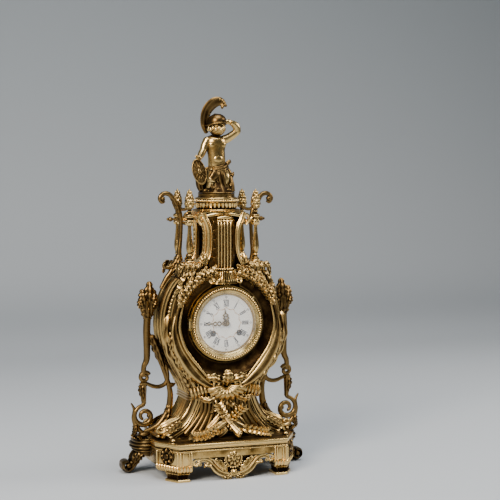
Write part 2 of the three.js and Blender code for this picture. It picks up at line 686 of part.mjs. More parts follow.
// child warrior with a plumed helmet: one arm raised to the brow, a cloth round the waist
function figure() {
  const h = FIGURE_HEIGHT;
  const mound = turned([[0, 0], [22, 0], [20, 6], [12, 14], [0, 17]], 10);
  const cloth = ball(15, [2, 0, 24], [1.15, 0.9, 1.1], 8);
  const legs = [
    bar([[-6, -4, 26], [-9, -10, 14], [-10, -8, 3]], 5, 2, 6),
    bar([[7, -2, 26], [8, -10, 20], [6, -6, 6]], 5.2, 2, 6),
  ];
  const torso = ball(13.5, [0, 0, 52], [0.95, 0.75, 1.45], 9);
  const shoulders = ball(8, [0, 0, 70], [2, 0.9, 0.8], 8);
  const neck = bar([[1, 0, 70], [2, -1, 80]], 4.5, 1, 6);
  const head = ball(11.5, [3, -1, 90], [0.95, 1, 1.1], 9);
  const raised = bar([[14, 0, 73], [33, -2, 84], [26, -4, 92], [17, -6, 96]], 4, 5, 6);
  const hanging = bar([[-13, 0, 73], [-18, -2, 60], [-24, -6, 52], [-30, -8, 48]], 3.8, 4, 6);
  const helmet = ball(12.5, [2, 1, 95], [1, 1.05, 0.95], 9);
  const crest = bar([
    [-8, 6, 92], [-12, 5, 106], [-8, 3, 118], [2, 0, h - 5], [12, -3, h - 9],
  ], 5, 6, 6);
  return join([mound, cloth, ...legs, torso, shoulders, neck, head, raised, hanging, helmet, crest])
    .intersect(block([-60, -60, 0], [60, 60, h]));
}
place("figure", figure(), bronze, [0, 0, FIGURE_BOTTOM]);

// small oval shield that leans against the mound
function shield() {
  return ball(12, [0, 0, 0], [0.8, 0.16, 1.5], 10).rotate([-8, 0, 14]).translate([-29, -14, 28]);
}
place("figure_shield", shield(), gilt, [0, 0, FIGURE_BOTTOM]);

// ---- Movement: plates ---------------------------------------------------------------------

// planes of the movement, counted back from the case's front
const FRONT_PLATE_Y = CASE_FRONT + 6; // front face of the front plate
const BETWEEN = FRONT_PLATE_Y + PLATE_THICKNESS; // start of the space between the plates
const BACK_PLATE_Y = BETWEEN + PLATE_SPACING;
const BACK_PLATE_REAR = BACK_PLATE_Y + PLATE_THICKNESS;
const DIAL_FRONT = FRONT_PLATE_Y - 10.5;
const HOUR_HAND_Y = DIAL_FRONT - 2.2;
const MINUTE_HAND_Y = DIAL_FRONT - 4;
const HAND_THICKNESS = 0.7;

// the barrel and the centre pinion mesh at the distance of the winding hole from the centre
const WINDING = Math.hypot(WINDING_X, WINDING_DROP);
const BARREL_MODULE = (2 * WINDING) / (42 + 7);

// train, all in mesh one after the other: teeth and modules
const TRAIN = {
  barrel: { teeth: 42, module: BARREL_MODULE },
  centrePinion: { teeth: 7, module: BARREL_MODULE },
  centreWheel: { teeth: 35, module: 0.75 },
  thirdPinion: { teeth: 7, module: 0.75 },
  thirdWheel: { teeth: 35, module: 0.64 },
  escapePinion: { teeth: 7, module: 0.64 },
  cannonPinion: { teeth: 10, module: 0.6 },
  minuteWheel: { teeth: 30, module: 0.6 },
  minutePinion: { teeth: 8, module: 0.6 },
  hourWheel: { teeth: 32, module: 0.6 },
};
const pitchRadius = ({ teeth, module }) => (teeth * module) / 2;
const centreDistance = (first, second) => pitchRadius(TRAIN[first]) + pitchRadius(TRAIN[second]);

const polar = (distance, angle) => [distance * Math.cos(angle), distance * Math.sin(angle)];
const THIRD_ANGLE = (62 * Math.PI) / 180;
const THIRD = polar(centreDistance("centreWheel", "thirdPinion"), THIRD_ANGLE);
const ESCAPE_DISTANCE = centreDistance("thirdWheel", "escapePinion");
const ESCAPE_ANGLE = Math.acos(-THIRD[0] / ESCAPE_DISTANCE);
const ESCAPE = [0, THIRD[1] + ESCAPE_DISTANCE * Math.sin(ESCAPE_ANGLE)];
const MINUTE_WHEEL = [0, -centreDistance("cannonPinion", "minuteWheel")];
const GOING = [WINDING_X, -WINDING_DROP];
const STRIKE = [-WINDING_X, -WINDING_DROP];
const ESCAPE_WHEEL_RADIUS = 7.5;
const PALLET_PIVOT = [0, PLATE_RADIUS - 3];
const SUSPENSION_Z = PALLET_PIVOT[1];

const ARBOR = 1.1; // radius of the train's arbors
const PIVOT_PLAY = 0.35; // radial room round each arbor in its hole

// flat toothed wheel in the X-Z plane; firstTooth is the angle of one tooth's middle
function gear({ teeth, module }, front, rear, hole, firstTooth = 0) {
  const root = pitchRadius({ teeth, module }) - 1.05 * module;
  const tip = pitchRadius({ teeth, module }) + 0.8 * module;
  const pitch = (2 * Math.PI) / teeth;
  const points = [];
  for (let tooth = 0; tooth < teeth; tooth += 1) {
    const middle = firstTooth + tooth * pitch;
    points.push(polar(root, middle - 0.24 * pitch));
    points.push(polar(tip, middle));
    points.push(polar(root, middle + 0.24 * pitch));
  }
  const shape = outline(points);
  if (hole) shape.holes.push(circle(hole));
  return slab(shape, front, rear, 6);
}

// where the tooth of a driven gear must stand so that a gap faces the driver's tooth
function meshPhase(driver, driven, angle, driverPhase) {
  const driverPitch = (2 * Math.PI) / TRAIN[driver].teeth;
  const drivenPitch = (2 * Math.PI) / TRAIN[driven].teeth;
  const fromTooth = (angle - driverPhase) / driverPitch;
  return angle + Math.PI + fromTooth * drivenPitch + drivenPitch / 2;
}

const movement = new THREE.Group();
movement.position.set(0, 0, DIAL_Z);
clock.add(movement);
const fit = (name, body, material, [x, z] = [0, 0]) => place(name, body, material, [x, 0, z], movement);

const hole = (radius, [x, z]) => discAlongY(radius, -80, 80, 0, 12).translate([x, 0, z]);
const PILLAR_CIRCLE = PLATE_RADIUS - 3.5;
const PILLARS = [12, 60, 168, 270].map((angle) => polar(PILLAR_CIRCLE, (angle * Math.PI) / 180));
const WINDING_HOLE = 2.9;
const TRAIN_HOLES = [
  ...[[0, 0], THIRD, ESCAPE, PALLET_PIVOT].map((spot) => hole(ARBOR + PIVOT_PLAY, spot)),
  ...[GOING, STRIKE].map((spot) => hole(WINDING_HOLE, spot)),
];

function frontPlate() {
  const plate = discAlongY(PLATE_RADIUS, FRONT_PLATE_Y, BETWEEN, 0, 28);
  const pillars = PILLARS.map(([x, z]) =>
    discAlongY(2.2, FRONT_PLATE_Y + 0.5, BACK_PLATE_Y - CLEARANCE, 0, 8).translate([x, 0, z]));
  const stud = discAlongY(1.2, FRONT_PLATE_Y - 8, FRONT_PLATE_Y + 0.5, 0, 8)
    .translate([MINUTE_WHEEL[0], 0, MINUTE_WHEEL[1]]);
  return join([plate, ...pillars, stud]).subtract(join(TRAIN_HOLES));
}
fit("movement_front_plate", frontPlate(), brass);

function backPlate() {
  const plate = discAlongY(PLATE_RADIUS, BACK_PLATE_Y, BACK_PLATE_REAR, 0, 28);
  return plate.subtract(join(TRAIN_HOLES));
}
fit("movement_back_plate", backPlate(), brass);

// ---- Movement: barrels and train ------------------------------------------------------------

const BARREL_RADIUS = 15;
const BARREL_BORE = WINDING_HOLE;
const GOING_WHEEL_Y = BETWEEN + 1.2;
const STRIKE_WHEEL_Y = BACK_PLATE_Y - 11;
const WHEEL_THICKNESS = 2;

function barrel(wheelFront, bodyFront, bodyRear, firstTooth) {
  const wheel = gear(TRAIN.barrel, wheelFront, wheelFront + WHEEL_THICKNESS, BARREL_BORE, firstTooth);
  const drum = discAlongY(BARREL_RADIUS, bodyFront, bodyRear, BARREL_BORE, 16);
  return wheel.add(drum);
}
const GOING_ANGLE = Math.atan2(GOING[1], GOING[0]);
const CENTRE_PHASE = 0;
const goingPhase = meshPhase("centrePinion", "barrel", GOING_ANGLE, CENTRE_PHASE);
fit("going_barrel", barrel(GOING_WHEEL_Y, GOING_WHEEL_Y + 1, BACK_PLATE_Y - 10, goingPhase), brass, GOING);
fit("strike_barrel", barrel(STRIKE_WHEEL_Y, BETWEEN + 1.2, STRIKE_WHEEL_Y + 1, 0), brass, STRIKE);

// winding arbors with a square end that shows through the dial
function windingArbor() {
  const shaft = discAlongY(2.3, FRONT_PLATE_Y - 7, BACK_PLATE_REAR + 1.5, 0, 10);
  const square = block([-1.5, DIAL_FRONT + 1, -1.5], [1.5, FRONT_PLATE_Y - 6.5, 1.5]);
  return shaft.add(square);
}
fit("going_winding_arbor", windingArbor(), steel, GOING);
fit("strike_winding_arbor", windingArbor(), steel, STRIKE);

const CENTRE_WHEEL_Y = BACK_PLATE_Y - 6;
const THIRD_WHEEL_Y = BACK_PLATE_Y - 15;
const ESCAPE_WHEEL_Y = CENTRE_WHEEL_Y;
const PINION_LENGTH = 4.4;

const arborBody = (front, rear) => discAlongY(ARBOR, front, rear, 0, 8);

function centreArbor() {
  const pinionFront = GOING_WHEEL_Y - 0.6;
  const pinionRear = GOING_WHEEL_Y + WHEEL_THICKNESS + 0.6;
  const pinion = gear(TRAIN.centrePinion, pinionFront, pinionRear, 0, CENTRE_PHASE);
  const wheel = gear(TRAIN.centreWheel, CENTRE_WHEEL_Y, CENTRE_WHEEL_Y + WHEEL_THICKNESS, 0, CENTRE_PHASE);
  return join([pinion, wheel, arborBody(MINUTE_HAND_Y - 2, BACK_PLATE_REAR + 1)]);
}
fit("centre_wheel", centreArbor(), brass);

const thirdPhase = meshPhase("centreWheel", "thirdPinion", THIRD_ANGLE, CENTRE_PHASE);
function thirdWheel() {
  const pinionFront = CENTRE_WHEEL_Y - 1;
  const pinion = gear(TRAIN.thirdPinion, pinionFront, pinionFront + PINION_LENGTH, 0, thirdPhase);
  const wheel = gear(TRAIN.thirdWheel, THIRD_WHEEL_Y, THIRD_WHEEL_Y + WHEEL_THICKNESS, 0, thirdPhase);
  return join([pinion, wheel, arborBody(FRONT_PLATE_Y - 0.5, BACK_PLATE_REAR + 1)]);
}
fit("third_wheel", thirdWheel(), brass, THIRD);

const escapePhase = meshPhase("thirdWheel", "escapePinion", ESCAPE_ANGLE, thirdPhase);
const ESCAPE_TEETH = 20;
function escapeWheel() {
  const pinionFront = THIRD_WHEEL_Y - 1;
  const pinion = gear(TRAIN.escapePinion, pinionFront, pinionFront + PINION_LENGTH, 0, escapePhase);
  const points = [];
  const pitch = (2 * Math.PI) / ESCAPE_TEETH;
  for (let tooth = 0; tooth < ESCAPE_TEETH; tooth += 1) {
    points.push(polar(ESCAPE_WHEEL_RADIUS - 2, tooth * pitch));
    points.push(polar(ESCAPE_WHEEL_RADIUS, tooth * pitch + 0.1 * pitch));
    points.push(polar(ESCAPE_WHEEL_RADIUS, tooth * pitch + 0.25 * pitch));
  }
  const wheel = slab(outline(points), ESCAPE_WHEEL_Y, ESCAPE_WHEEL_Y + 1.2);
  return join([pinion, wheel, arborBody(FRONT_PLATE_Y - 0.5, BACK_PLATE_REAR + 1)]);
}
fit("escape_wheel", escapeWheel(), brass, ESCAPE);

// anchor astride the escape wheel, with the crutch that reaches down behind the back plate
const CRUTCH_Y = BACK_PLATE_REAR + 2;
const PALLET_GAP = 1;
function anchor() {
  const drop = PALLET_PIVOT[1] - ESCAPE[1];
  const inner = ESCAPE_WHEEL_RADIUS + PALLET_GAP;
  const bow = new THREE.Shape();
  const from = (35 * Math.PI) / 180;
  bow.absarc(0, -drop, inner + 2.2, from, Math.PI - from, false);
  bow.absarc(0, -drop, inner, Math.PI - from, from, true);
  bow.closePath();
  const arch = slab(bow, ESCAPE_WHEEL_Y - 0.2, ESCAPE_WHEEL_Y + 1.6, 8);
  const stalk = block([-1.2, ESCAPE_WHEEL_Y - 0.2, -(drop - inner) + 0.5], [1.2, ESCAPE_WHEEL_Y + 1.6, 0]);
  const shaft = arborBody(FRONT_PLATE_Y - 0.5, CRUTCH_Y + 1.2);
  const crutch = block([-1, CRUTCH_Y, -38], [1, CRUTCH_Y + 1.2, 0]);
  return join([arch, stalk, shaft, crutch]);
}
fit("pallet_anchor", anchor(), steel, PALLET_PIVOT);

// ---- Movement: motion work and hands ----------------------------------------------------------

const MOTION_Y = FRONT_PLATE_Y - 3.2;
const HOUR_WHEEL_Y = FRONT_PLATE_Y - 6.4;
function cannonPinion() {
  const leaves = gear(TRAIN.cannonPinion, MOTION_Y, MOTION_Y + 2.4, ARBOR + 0.3, 0);
  const pipe = discAlongY(2, MINUTE_HAND_Y + HAND_THICKNESS + CLEARANCE, MOTION_Y + 1, ARBOR + 0.3, 10);
  return leaves.add(pipe);
}
fit("cannon_pinion", cannonPinion(), steel);

const DOWN = -Math.PI / 2;
const minutePhase = meshPhase("cannonPinion", "minuteWheel", DOWN, 0);
function minuteWheel() {
  const wheel = gear(TRAIN.minuteWheel, MOTION_Y + 0.4, MOTION_Y + 1.8, 1.6, minutePhase);
  const pinion = gear(TRAIN.minutePinion, HOUR_WHEEL_Y - 0.4, MOTION_Y + 1, 1.6, minutePhase);
  return wheel.add(pinion);
}
fit("minute_wheel", minuteWheel(), brass, MINUTE_WHEEL);

const hourPhase = meshPhase("minutePinion", "hourWheel", Math.PI / 2, minutePhase);
function hourWheel() {
  const wheel = gear(TRAIN.hourWheel, HOUR_WHEEL_Y, HOUR_WHEEL_Y + 1.4, 2.4, hourPhase);
  const pipe = discAlongY(3.1, HOUR_HAND_Y + HAND_THICKNESS + CLEARANCE, HOUR_WHEEL_Y + 1, 2.4, 12);
  return wheel.add(pipe);
}
fit("hour_wheel", hourWheel(), brass);

// pierced hands; both point straight up here and are turned to a quarter to twelve
function hand(length, width, bore, plane) {
  const blade = outline([
    [-width * 0.2, 3], [-width * 0.5, length * 0.3], [-width * 0.22, length * 0.5],
    [-width * 0.42, length * 0.68], [0, length], [width * 0.42, length * 0.68],
    [width * 0.22, length * 0.5], [width * 0.5, length * 0.3], [width * 0.2, 3],
  ]);
  const eye = circle(bore + 2.2);
  eye.holes.push(circle(bore));
  return slab(blade, plane, plane + HAND_THICKNESS)
    .add(slab(eye, plane, plane + HAND_THICKNESS, 8));
}
const SHOWN_MINUTES = 45;
const SHOWN_HOURS = 11.75;
fit("minute_hand", hand(MINUTE_HAND_LENGTH, 6, ARBOR + 0.3, MINUTE_HAND_Y)
  .rotate([0, SHOWN_MINUTES * 6, 0]), brass);
fit("hour_hand", hand(HOUR_HAND_LENGTH, 7, 2.4, HOUR_HAND_Y).rotate([0, SHOWN_HOURS * 30, 0]), brass);

// ---- Dial, bezel and mounting -----------------------------------------------------------------

const RING_RADIUS = BEZEL_RADIUS + 1.5;
const RING_FRONT = DIAL_FRONT;
const BEZEL_REAR = RING_FRONT - CLEARANCE;
const BEZEL_FRONT = BEZEL_REAR - BEZEL_DEPTH;
const PIN_RADIUS = 0.8;
const PIN_PLAY = 0.35;
const KNUCKLE = 1.8;
const KNUCKLE_HALF = 4.5;
const EAR = 3; // height of each fixed knuckle

function upright(radius, half, x, y, z = 0) {
  const geometry = new THREE.CylinderGeometry(radius, radius, 2 * half, 10);
  geometry.rotateX(Math.PI / 2);
  return solid(geometry).translate([x, y, z]);
}

const HINGE_X = BEZEL_RADIUS + KNUCKLE + 0.6;
const HINGE_Y = BEZEL_REAR - KNUCKLE - 0.4;

const REAR_RING_DEPTH = 10;

// brass ring that seats in the front of the case and carries the dial and the bezel's hinge;
// two straps riveted to it reach back through the case to the rear ring
function movementRing() {
  const sleeve = discAlongY(
    MOVEMENT_HOLE - CLEARANCE, RING_FRONT + 2, CASE_FRONT + 8, PLATE_RADIUS + CLEARANCE, 28,
  );
  const flange = discAlongY(RING_RADIUS, RING_FRONT, CASE_FRONT - CLEARANCE, DIAL_RADIUS + CLEARANCE, 28);
  const ears = [-1, 1].map((side) => {
    const near = side * (KNUCKLE_HALF + CLEARANCE);
    const far = side * (KNUCKLE_HALF + CLEARANCE + EAR);
    return block(
      [-HINGE_X - KNUCKLE, HINGE_Y - KNUCKLE, Math.min(near, far)],
      [-BEZEL_RADIUS - 0.4, CASE_FRONT - FRAME_LAND - 2 * CLEARANCE, Math.max(near, far)],
    );
  });
  const strap = block(
    [PLATE_RADIUS + 0.6, CASE_FRONT + 7, -6],
    [MOVEMENT_HOLE - 1, CASE_REAR - REAR_RING_DEPTH - CLEARANCE, 6],
  );
  return join([sleeve, flange, strap, mirrorX(strap), ...ears])
    .subtract(upright(PIN_RADIUS + PIN_PLAY, 30, -HINGE_X, HINGE_Y));
}
fit("movement_ring", movementRing(), brass);

// enamelled dial plate with its centre hole and two winding holes
function dial() {
  const disc = discAlongY(DIAL_RADIUS, DIAL_FRONT, DIAL_FRONT + DIAL_THICKNESS, 0, 28);
  return disc.subtract(join([hole(3.6, [0, 0]), hole(3, GOING), hole(3, STRIKE)]));
}
fit("dial", dial(), enamel);

const GLASS_SEAT = 2;
const GLASS_RADIUS = BEZEL_SIGHT + 1.5;
const GLASS_DOME = 6;

function bezelRing() {
  const rear = -BEZEL_REAR;
  const front = -BEZEL_FRONT;
  const ring = turnedAlongY([
    [BEZEL_SIGHT, rear],
    [BEZEL_RADIUS, rear],
    [BEZEL_RADIUS, front - 2],
    [BEZEL_RADIUS - 2, front],
    [BEZEL_RADIUS - 4, front],
    [GLASS_RADIUS + CLEARANCE, front - 2],
    [GLASS_RADIUS + CLEARANCE, rear + GLASS_SEAT],
    [BEZEL_SIGHT, rear + GLASS_SEAT],
    [BEZEL_SIGHT, rear],
  ], 28);
  const leaf = block(
    [-HINGE_X, HINGE_Y - 1, -KNUCKLE_HALF],
    [-BEZEL_RADIUS + 2, BEZEL_REAR - 0.4, KNUCKLE_HALF],
  );
  const knuckle = upright(KNUCKLE, KNUCKLE_HALF, -HINGE_X, HINGE_Y);
  const tab = block([28, BEZEL_REAR - 1.6, 38], [35, BEZEL_REAR, 43]);
  return join([ring, leaf, knuckle, tab]).subtract(upright(PIN_RADIUS + PIN_PLAY, 30, -HINGE_X, HINGE_Y));
}
fit("bezel_ring", bezelRing(), gilt);

// domed glass that rests on the bezel's inner lip
function bezelGlass() {
  const edge = -BEZEL_REAR + GLASS_SEAT + CLEARANCE;
  const radii = [0, 0.45, 0.75, 1];
  const rise = (part) => GLASS_DOME * (1 - part * part);
  const face = (offset) => radii.map((part) => [part * GLASS_RADIUS, edge + offset + rise(part)]);
  return turnedAlongY([...face(0), ...face(GLASS_THICKNESS).reverse()], 28);
}
fit("bezel_glass", bezelGlass(), glass);
fit("bezel_hinge_pin", upright(PIN_RADIUS, KNUCKLE_HALF + EAR + 0.5, -HINGE_X, HINGE_Y), brass);

// ring in the back of the case with the round door, hinged on the other side
const DOOR_THICKNESS = 1.6;
const DOOR_HINGE_X = DOOR_RADIUS + KNUCKLE + 0.6;
const DOOR_HINGE_Y = DOOR_FRONT + KNUCKLE - 0.2;

function rearRing() {
  const sleeve = discAlongY(
    MOVEMENT_HOLE - CLEARANCE, CASE_REAR - REAR_RING_DEPTH, REAR_RING_REAR, PLATE_RADIUS + CLEARANCE, 28,
  );
  const bore = PLATE_RADIUS + CLEARANCE;
  const flange = discAlongY(DOOR_RADIUS + 3, CASE_REAR + CLEARANCE, REAR_RING_REAR, bore, 28);
  const ears = [-1, 1].map((side) => {
    const near = side * (KNUCKLE_HALF + CLEARANCE);
    const far = side * (KNUCKLE_HALF + CLEARANCE + EAR);
    return block(
      [DOOR_RADIUS + 0.4, CASE_REAR + 0.5, Math.min(near, far)],
      [DOOR_HINGE_X + KNUCKLE, DOOR_HINGE_Y + KNUCKLE, Math.max(near, far)],
    );
  });
  const pinHole = upright(PIN_RADIUS + PIN_PLAY, 30, DOOR_HINGE_X, DOOR_HINGE_Y);
  return join([sleeve, flange, ...ears]).subtract(pinHole);
}
fit("rear_ring", rearRing(), brass);

function rearDoor() {
  const disc = discAlongY(DOOR_RADIUS, DOOR_FRONT, DOOR_FRONT + DOOR_THICKNESS, 0, 28);
  const rim = discAlongY(DOOR_RADIUS, DOOR_FRONT, DOOR_FRONT + DOOR_THICKNESS + 1.2, DOOR_RADIUS - 3, 28);
  const leaf = block(
    [DOOR_RADIUS - 2, DOOR_FRONT, -KNUCKLE_HALF],
    [DOOR_HINGE_X, DOOR_FRONT + DOOR_THICKNESS, KNUCKLE_HALF],
  );
  const knuckle = upright(KNUCKLE, KNUCKLE_HALF, DOOR_HINGE_X, DOOR_HINGE_Y);
  const knob = discAlongY(2.4, DOOR_FRONT + 1, DOOR_FRONT + DOOR_KNOB, 0, 10)
    .translate([-DOOR_RADIUS + 9, 0, 0]);
  return join([disc, rim, leaf, knuckle, knob])
    .subtract(upright(PIN_RADIUS + PIN_PLAY, 30, DOOR_HINGE_X, DOOR_HINGE_Y));
}
fit("rear_door", rearDoor(), brass);
fit("rear_hinge_pin", upright(PIN_RADIUS, KNUCKLE_HALF + EAR + 0.5, DOOR_HINGE_X, DOOR_HINGE_Y), brass);

// ---- Pendulum and strike ------------------------------------------------------------------------

const ROD_Y = CRUTCH_Y + 1.8;
const ROD_THICKNESS = 1.4;
const BOB_Z = SUSPENSION_Z - PENDULUM_LENGTH;

function pendulum() {
  const rod = block([-1.2, ROD_Y, BOB_Z], [1.2, ROD_Y + ROD_THICKNESS, SUSPENSION_Z + 1.5]);
  const middle = ROD_Y + ROD_THICKNESS / 2;
  const bob = turnedAlongY([
    [0, -middle - 4], [9, -middle - 3.2], [BOB_RADIUS, -middle - 0.8],
    [BOB_RADIUS, -middle + 0.8], [9, -middle + 3.2], [0, -middle + 4],
  ], 18).translate([0, 0, BOB_Z]);
  const nut = block(
    [-1.6, ROD_Y, BOB_Z - BOB_RADIUS - 5],
    [1.6, ROD_Y + ROD_THICKNESS, BOB_Z - BOB_RADIUS + 1],
  );
  return join([rod, bob, nut]);
}
fit("pendulum", pendulum(), brass);

// cock on the back plate that the pendulum hangs from
function suspensionCock() {
  return block(
    [-5, BACK_PLATE_REAR - 0.5, SUSPENSION_Z + 2.3],
    [5, ROD_Y + ROD_THICKNESS + 1, SUSPENSION_Z + 5],
  ).subtract(discAlongY(PLATE_RADIUS + CLEARANCE, BACK_PLATE_Y - 5, BACK_PLATE_REAR + CLEARANCE, 0, 28));
}
fit("suspension_cock", suspensionCock(), brass);

const BELL_AT = [11, -5];
const BELL_FRONT = ROD_Y + 9;
const BELL_DEPTH = 14;
const BELL_WALL = 1.5;
const POST_RADIUS = 1.8;

function bell() {
  const rim = -BELL_FRONT;
  const crown = -(BELL_FRONT + BELL_DEPTH);
  const r = BELL_RADIUS;
  return turnedAlongY([
    [POST_RADIUS + CLEARANCE, crown], [r * 0.5, crown + 1.4], [r * 0.85, crown + 6], [r, rim],
    [r - BELL_WALL, rim], [r * 0.85 - BELL_WALL, crown + 6], [r * 0.5, crown + 1.4 + BELL_WALL],
    [POST_RADIUS + CLEARANCE, crown + BELL_WALL], [POST_RADIUS + CLEARANCE, crown],
  ], 18);
}
fit("bell", bell(), brass, BELL_AT);

function bellPost() {
  const shaft = discAlongY(POST_RADIUS, BACK_PLATE_REAR + CLEARANCE, BELL_FRONT + BELL_DEPTH + 2, 0, 10);
  const crown = BELL_FRONT + BELL_DEPTH - BELL_WALL; // inside of the bell's closed end
  const collar = discAlongY(POST_RADIUS + 2, crown - 2.5, crown - CLEARANCE, 0, 12);
  return shaft.add(collar);
}
fit("bell_post", bellPost(), steel, BELL_AT);

const HAMMER_PIVOT = [-26, 18];
const HAMMER_HEAD = [BELL_AT[0] - BELL_RADIUS - 4 - HAMMER_PIVOT[0], BELL_AT[1] - HAMMER_PIVOT[1]];

function hammer() {
  const shaft = discAlongY(1.3, BACK_PLATE_REAR + CLEARANCE, BELL_FRONT + 5, 0, 8);
  const arm = flatBar([[0, 0], [-1.5, HAMMER_HEAD[1] / 2], HAMMER_HEAD], BELL_FRONT + 2.5, 1.1, 4);
  const head = discAlongY(3, BELL_FRONT, BELL_FRONT + 5, 0, 12)
    .translate([HAMMER_HEAD[0], 0, HAMMER_HEAD[1]]);
  return join([shaft, arm, head]);
}
fit("hammer", hammer(), steel, HAMMER_PIVOT);

export default clock;
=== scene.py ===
import math

import bpy
from mathutils import Matrix, Vector


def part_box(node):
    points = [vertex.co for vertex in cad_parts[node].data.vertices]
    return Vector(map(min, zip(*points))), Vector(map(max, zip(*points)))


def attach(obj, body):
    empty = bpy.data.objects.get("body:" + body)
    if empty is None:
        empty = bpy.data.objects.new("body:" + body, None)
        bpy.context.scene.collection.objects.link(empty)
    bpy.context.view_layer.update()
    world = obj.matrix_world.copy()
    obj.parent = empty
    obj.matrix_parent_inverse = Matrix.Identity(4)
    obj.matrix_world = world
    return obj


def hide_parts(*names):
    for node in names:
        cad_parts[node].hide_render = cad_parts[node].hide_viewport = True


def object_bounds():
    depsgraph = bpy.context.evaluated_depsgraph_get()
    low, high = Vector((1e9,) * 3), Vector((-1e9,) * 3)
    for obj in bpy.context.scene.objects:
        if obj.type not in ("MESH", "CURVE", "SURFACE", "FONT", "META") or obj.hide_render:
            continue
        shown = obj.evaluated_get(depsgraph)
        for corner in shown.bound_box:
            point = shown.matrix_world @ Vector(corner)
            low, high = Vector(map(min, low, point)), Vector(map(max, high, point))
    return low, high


bl_info = {
    "name": "Bronze mantel clock",
    "version": (1, 0, 0),
    "blender": (4, 5, 0),
    "location": "View3D > Sidebar > Clock",
    "description": "Ornament, dial and finishes of a gilt bronze mantel clock",
    "category": "Object",
}

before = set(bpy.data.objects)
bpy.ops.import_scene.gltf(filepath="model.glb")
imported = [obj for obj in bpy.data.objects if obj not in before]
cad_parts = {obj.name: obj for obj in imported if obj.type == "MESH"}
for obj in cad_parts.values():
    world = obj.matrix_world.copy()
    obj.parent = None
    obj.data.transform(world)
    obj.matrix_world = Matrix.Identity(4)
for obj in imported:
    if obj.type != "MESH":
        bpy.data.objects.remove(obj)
CAD_BOX = [list(corner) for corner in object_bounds()]
MM = 0.001


def box_mm(node):
    """Lowest and highest corner of a frame node, in millimetres."""
    low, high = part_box(node)
    return low / MM, high / MM


# ---- Places taken from the frame, in millimetres ----------------------------------------------

CASE_LOW, CASE_HIGH = box_mm("case_body")
MIDDLE_Y = (CASE_LOW.y + CASE_HIGH.y) / 2
DIAL_Z = (box_mm("bezel_ring")[0].z + box_mm("bezel_ring")[1].z) / 2
BASE_TOP = CASE_LOW.z - 3.3
CASE_TOP = CASE_HIGH.z
TOWER_LOW, TOWER_HIGH = box_mm("tower_frame")
PEDESTAL_LOW, PEDESTAL_HIGH = box_mm("top_pedestal")
FIGURE_LOW, FIGURE_HIGH = box_mm("figure")


def at(x, y, z):
    """A point of the clock in metres, from millimetres about the case's middle plane."""
    return Vector((x * MM, (y + MIDDLE_Y) * MM, z * MM))


# ---- Curves -----------------------------------------------------------------------------------


def along(points, t):
    """A point at part t, from 0 to 1, of a smooth line through the points."""
    last = len(points) - 1
    where = min(max(t, 0.0), 1.0) * last
    i = min(int(where), last - 1)
    f = where - i
    p = [points[min(max(i + k, 0), last)] for k in (-1, 0, 1, 2)]
    return [
        b + 0.5 * f * (c - a + f * (2 * a - 5 * b + 4 * c - d + f * (3 * (b - c) + d - a)))
        for a, b, c, d in zip(*p)
    ]


def straight(points, t):
    """A point at part t of the line through the points, with a corner at each."""
    last = len(points) - 1
    where = min(max(t, 0.0), 1.0) * last
    i = min(int(where), last - 1)
    f = where - i
    return [a + (b - a) * f for a, b in zip(points[i], points[i + 1])]


def spiral(x, z, outer, inner, start, turns, count=12):
    """Points [x, z] of a scroll that winds inwards from the angle start."""
    points = []
    for step in range(count):
        part = step / (count - 1)
        angle = start + part * turns * 2 * math.pi
        radius = outer + (inner - outer) * part
        points.append([x + radius * math.cos(angle), z + radius * math.sin(angle)])
    return points


# ---- Modelling --------------------------------------------------------------------------------


def select_only(*pieces):
    bpy.ops.object.select_all(action="DESELECT")
    for piece in pieces:
        piece.select_set(True)
    bpy.context.view_layer.objects.active = pieces[0]


def weld(piece, outwards=True):
    """Merges doubled points and turns the faces outwards."""
    select_only(piece)
    bpy.ops.object.mode_set(mode="EDIT")
    bpy.ops.mesh.select_all(action="SELECT")
    bpy.ops.mesh.remove_doubles(threshold=0.00002)
    bpy.ops.mesh.dissolve_degenerate(threshold=0.000005)
    if outwards:
        bpy.ops.mesh.normals_make_consistent(inside=False)
    bpy.ops.object.mode_set(mode="OBJECT")
    return piece


def surface(name, across, along_count, formula):
    """A grid primitive whose points are moved to formula(u, v), in millimetres, then welded."""
    bpy.ops.object.select_all(action="DESELECT")
    bpy.ops.mesh.primitive_grid_add(x_subdivisions=across, y_subdivisions=along_count, size=1)
    piece = bpy.context.active_object
    piece.name = name
    for vertex in piece.data.vertices:
        u = round((vertex.co.x + 0.5) * across) / across
        v = round((vertex.co.y + 0.5) * along_count) / along_count
        vertex.co = at(*formula(u, v))
    return weld(piece)


def turned(name, profile, centre=(0, 0), steps=48, rise=0, flutes=None, smooth=True, count=4):
    """A shape turned about the vertical through centre; profile holds [radius, height] pairs.

    flutes is (number, depth, from part, to part) and hollows that stretch of the side.
    """
    line = along if smooth else straight

    def formula(u, v):
        radius, height = line(profile, v)
        angle = 2 * math.pi * u
        radius = max(radius, 0)
        if flutes and flutes[2] < v < flutes[3]:
            fade = math.sin(math.pi * (v - flutes[2]) / (flutes[3] - flutes[2])) ** 0.4
            radius -= flutes[1] * fade * abs(math.cos(flutes[0] * angle / 2)) ** 1.5
        return (
            centre[0] + radius * math.cos(angle),
            centre[1] + radius * math.sin(angle),
            rise + height,
        )

    return surface(name, steps, count * (len(profile) - 1), formula)


def dished(name, profile, steps=96, smooth=False, count=3, centre=(0, 0), waves=None):
    """A ring turned about the dial's axis; profile holds [radius, y] pairs from the case's middle.

    waves is (number, depth) and scallops the radius.
    """
    line = along if smooth else straight

    def formula(u, v):
        radius, y = line(profile, v)
        angle = 2 * math.pi * u
        if waves:
            radius += waves[1] * math.cos(waves[0] * angle)
        return (
            centre[0] + radius * math.cos(angle),
            y,
            DIAL_Z + centre[1] + radius * math.sin(angle),
        )

    return surface(name, steps, count * (len(profile) - 1), formula)


def cross(a, b):
    return Vector(a).cross(Vector(b))


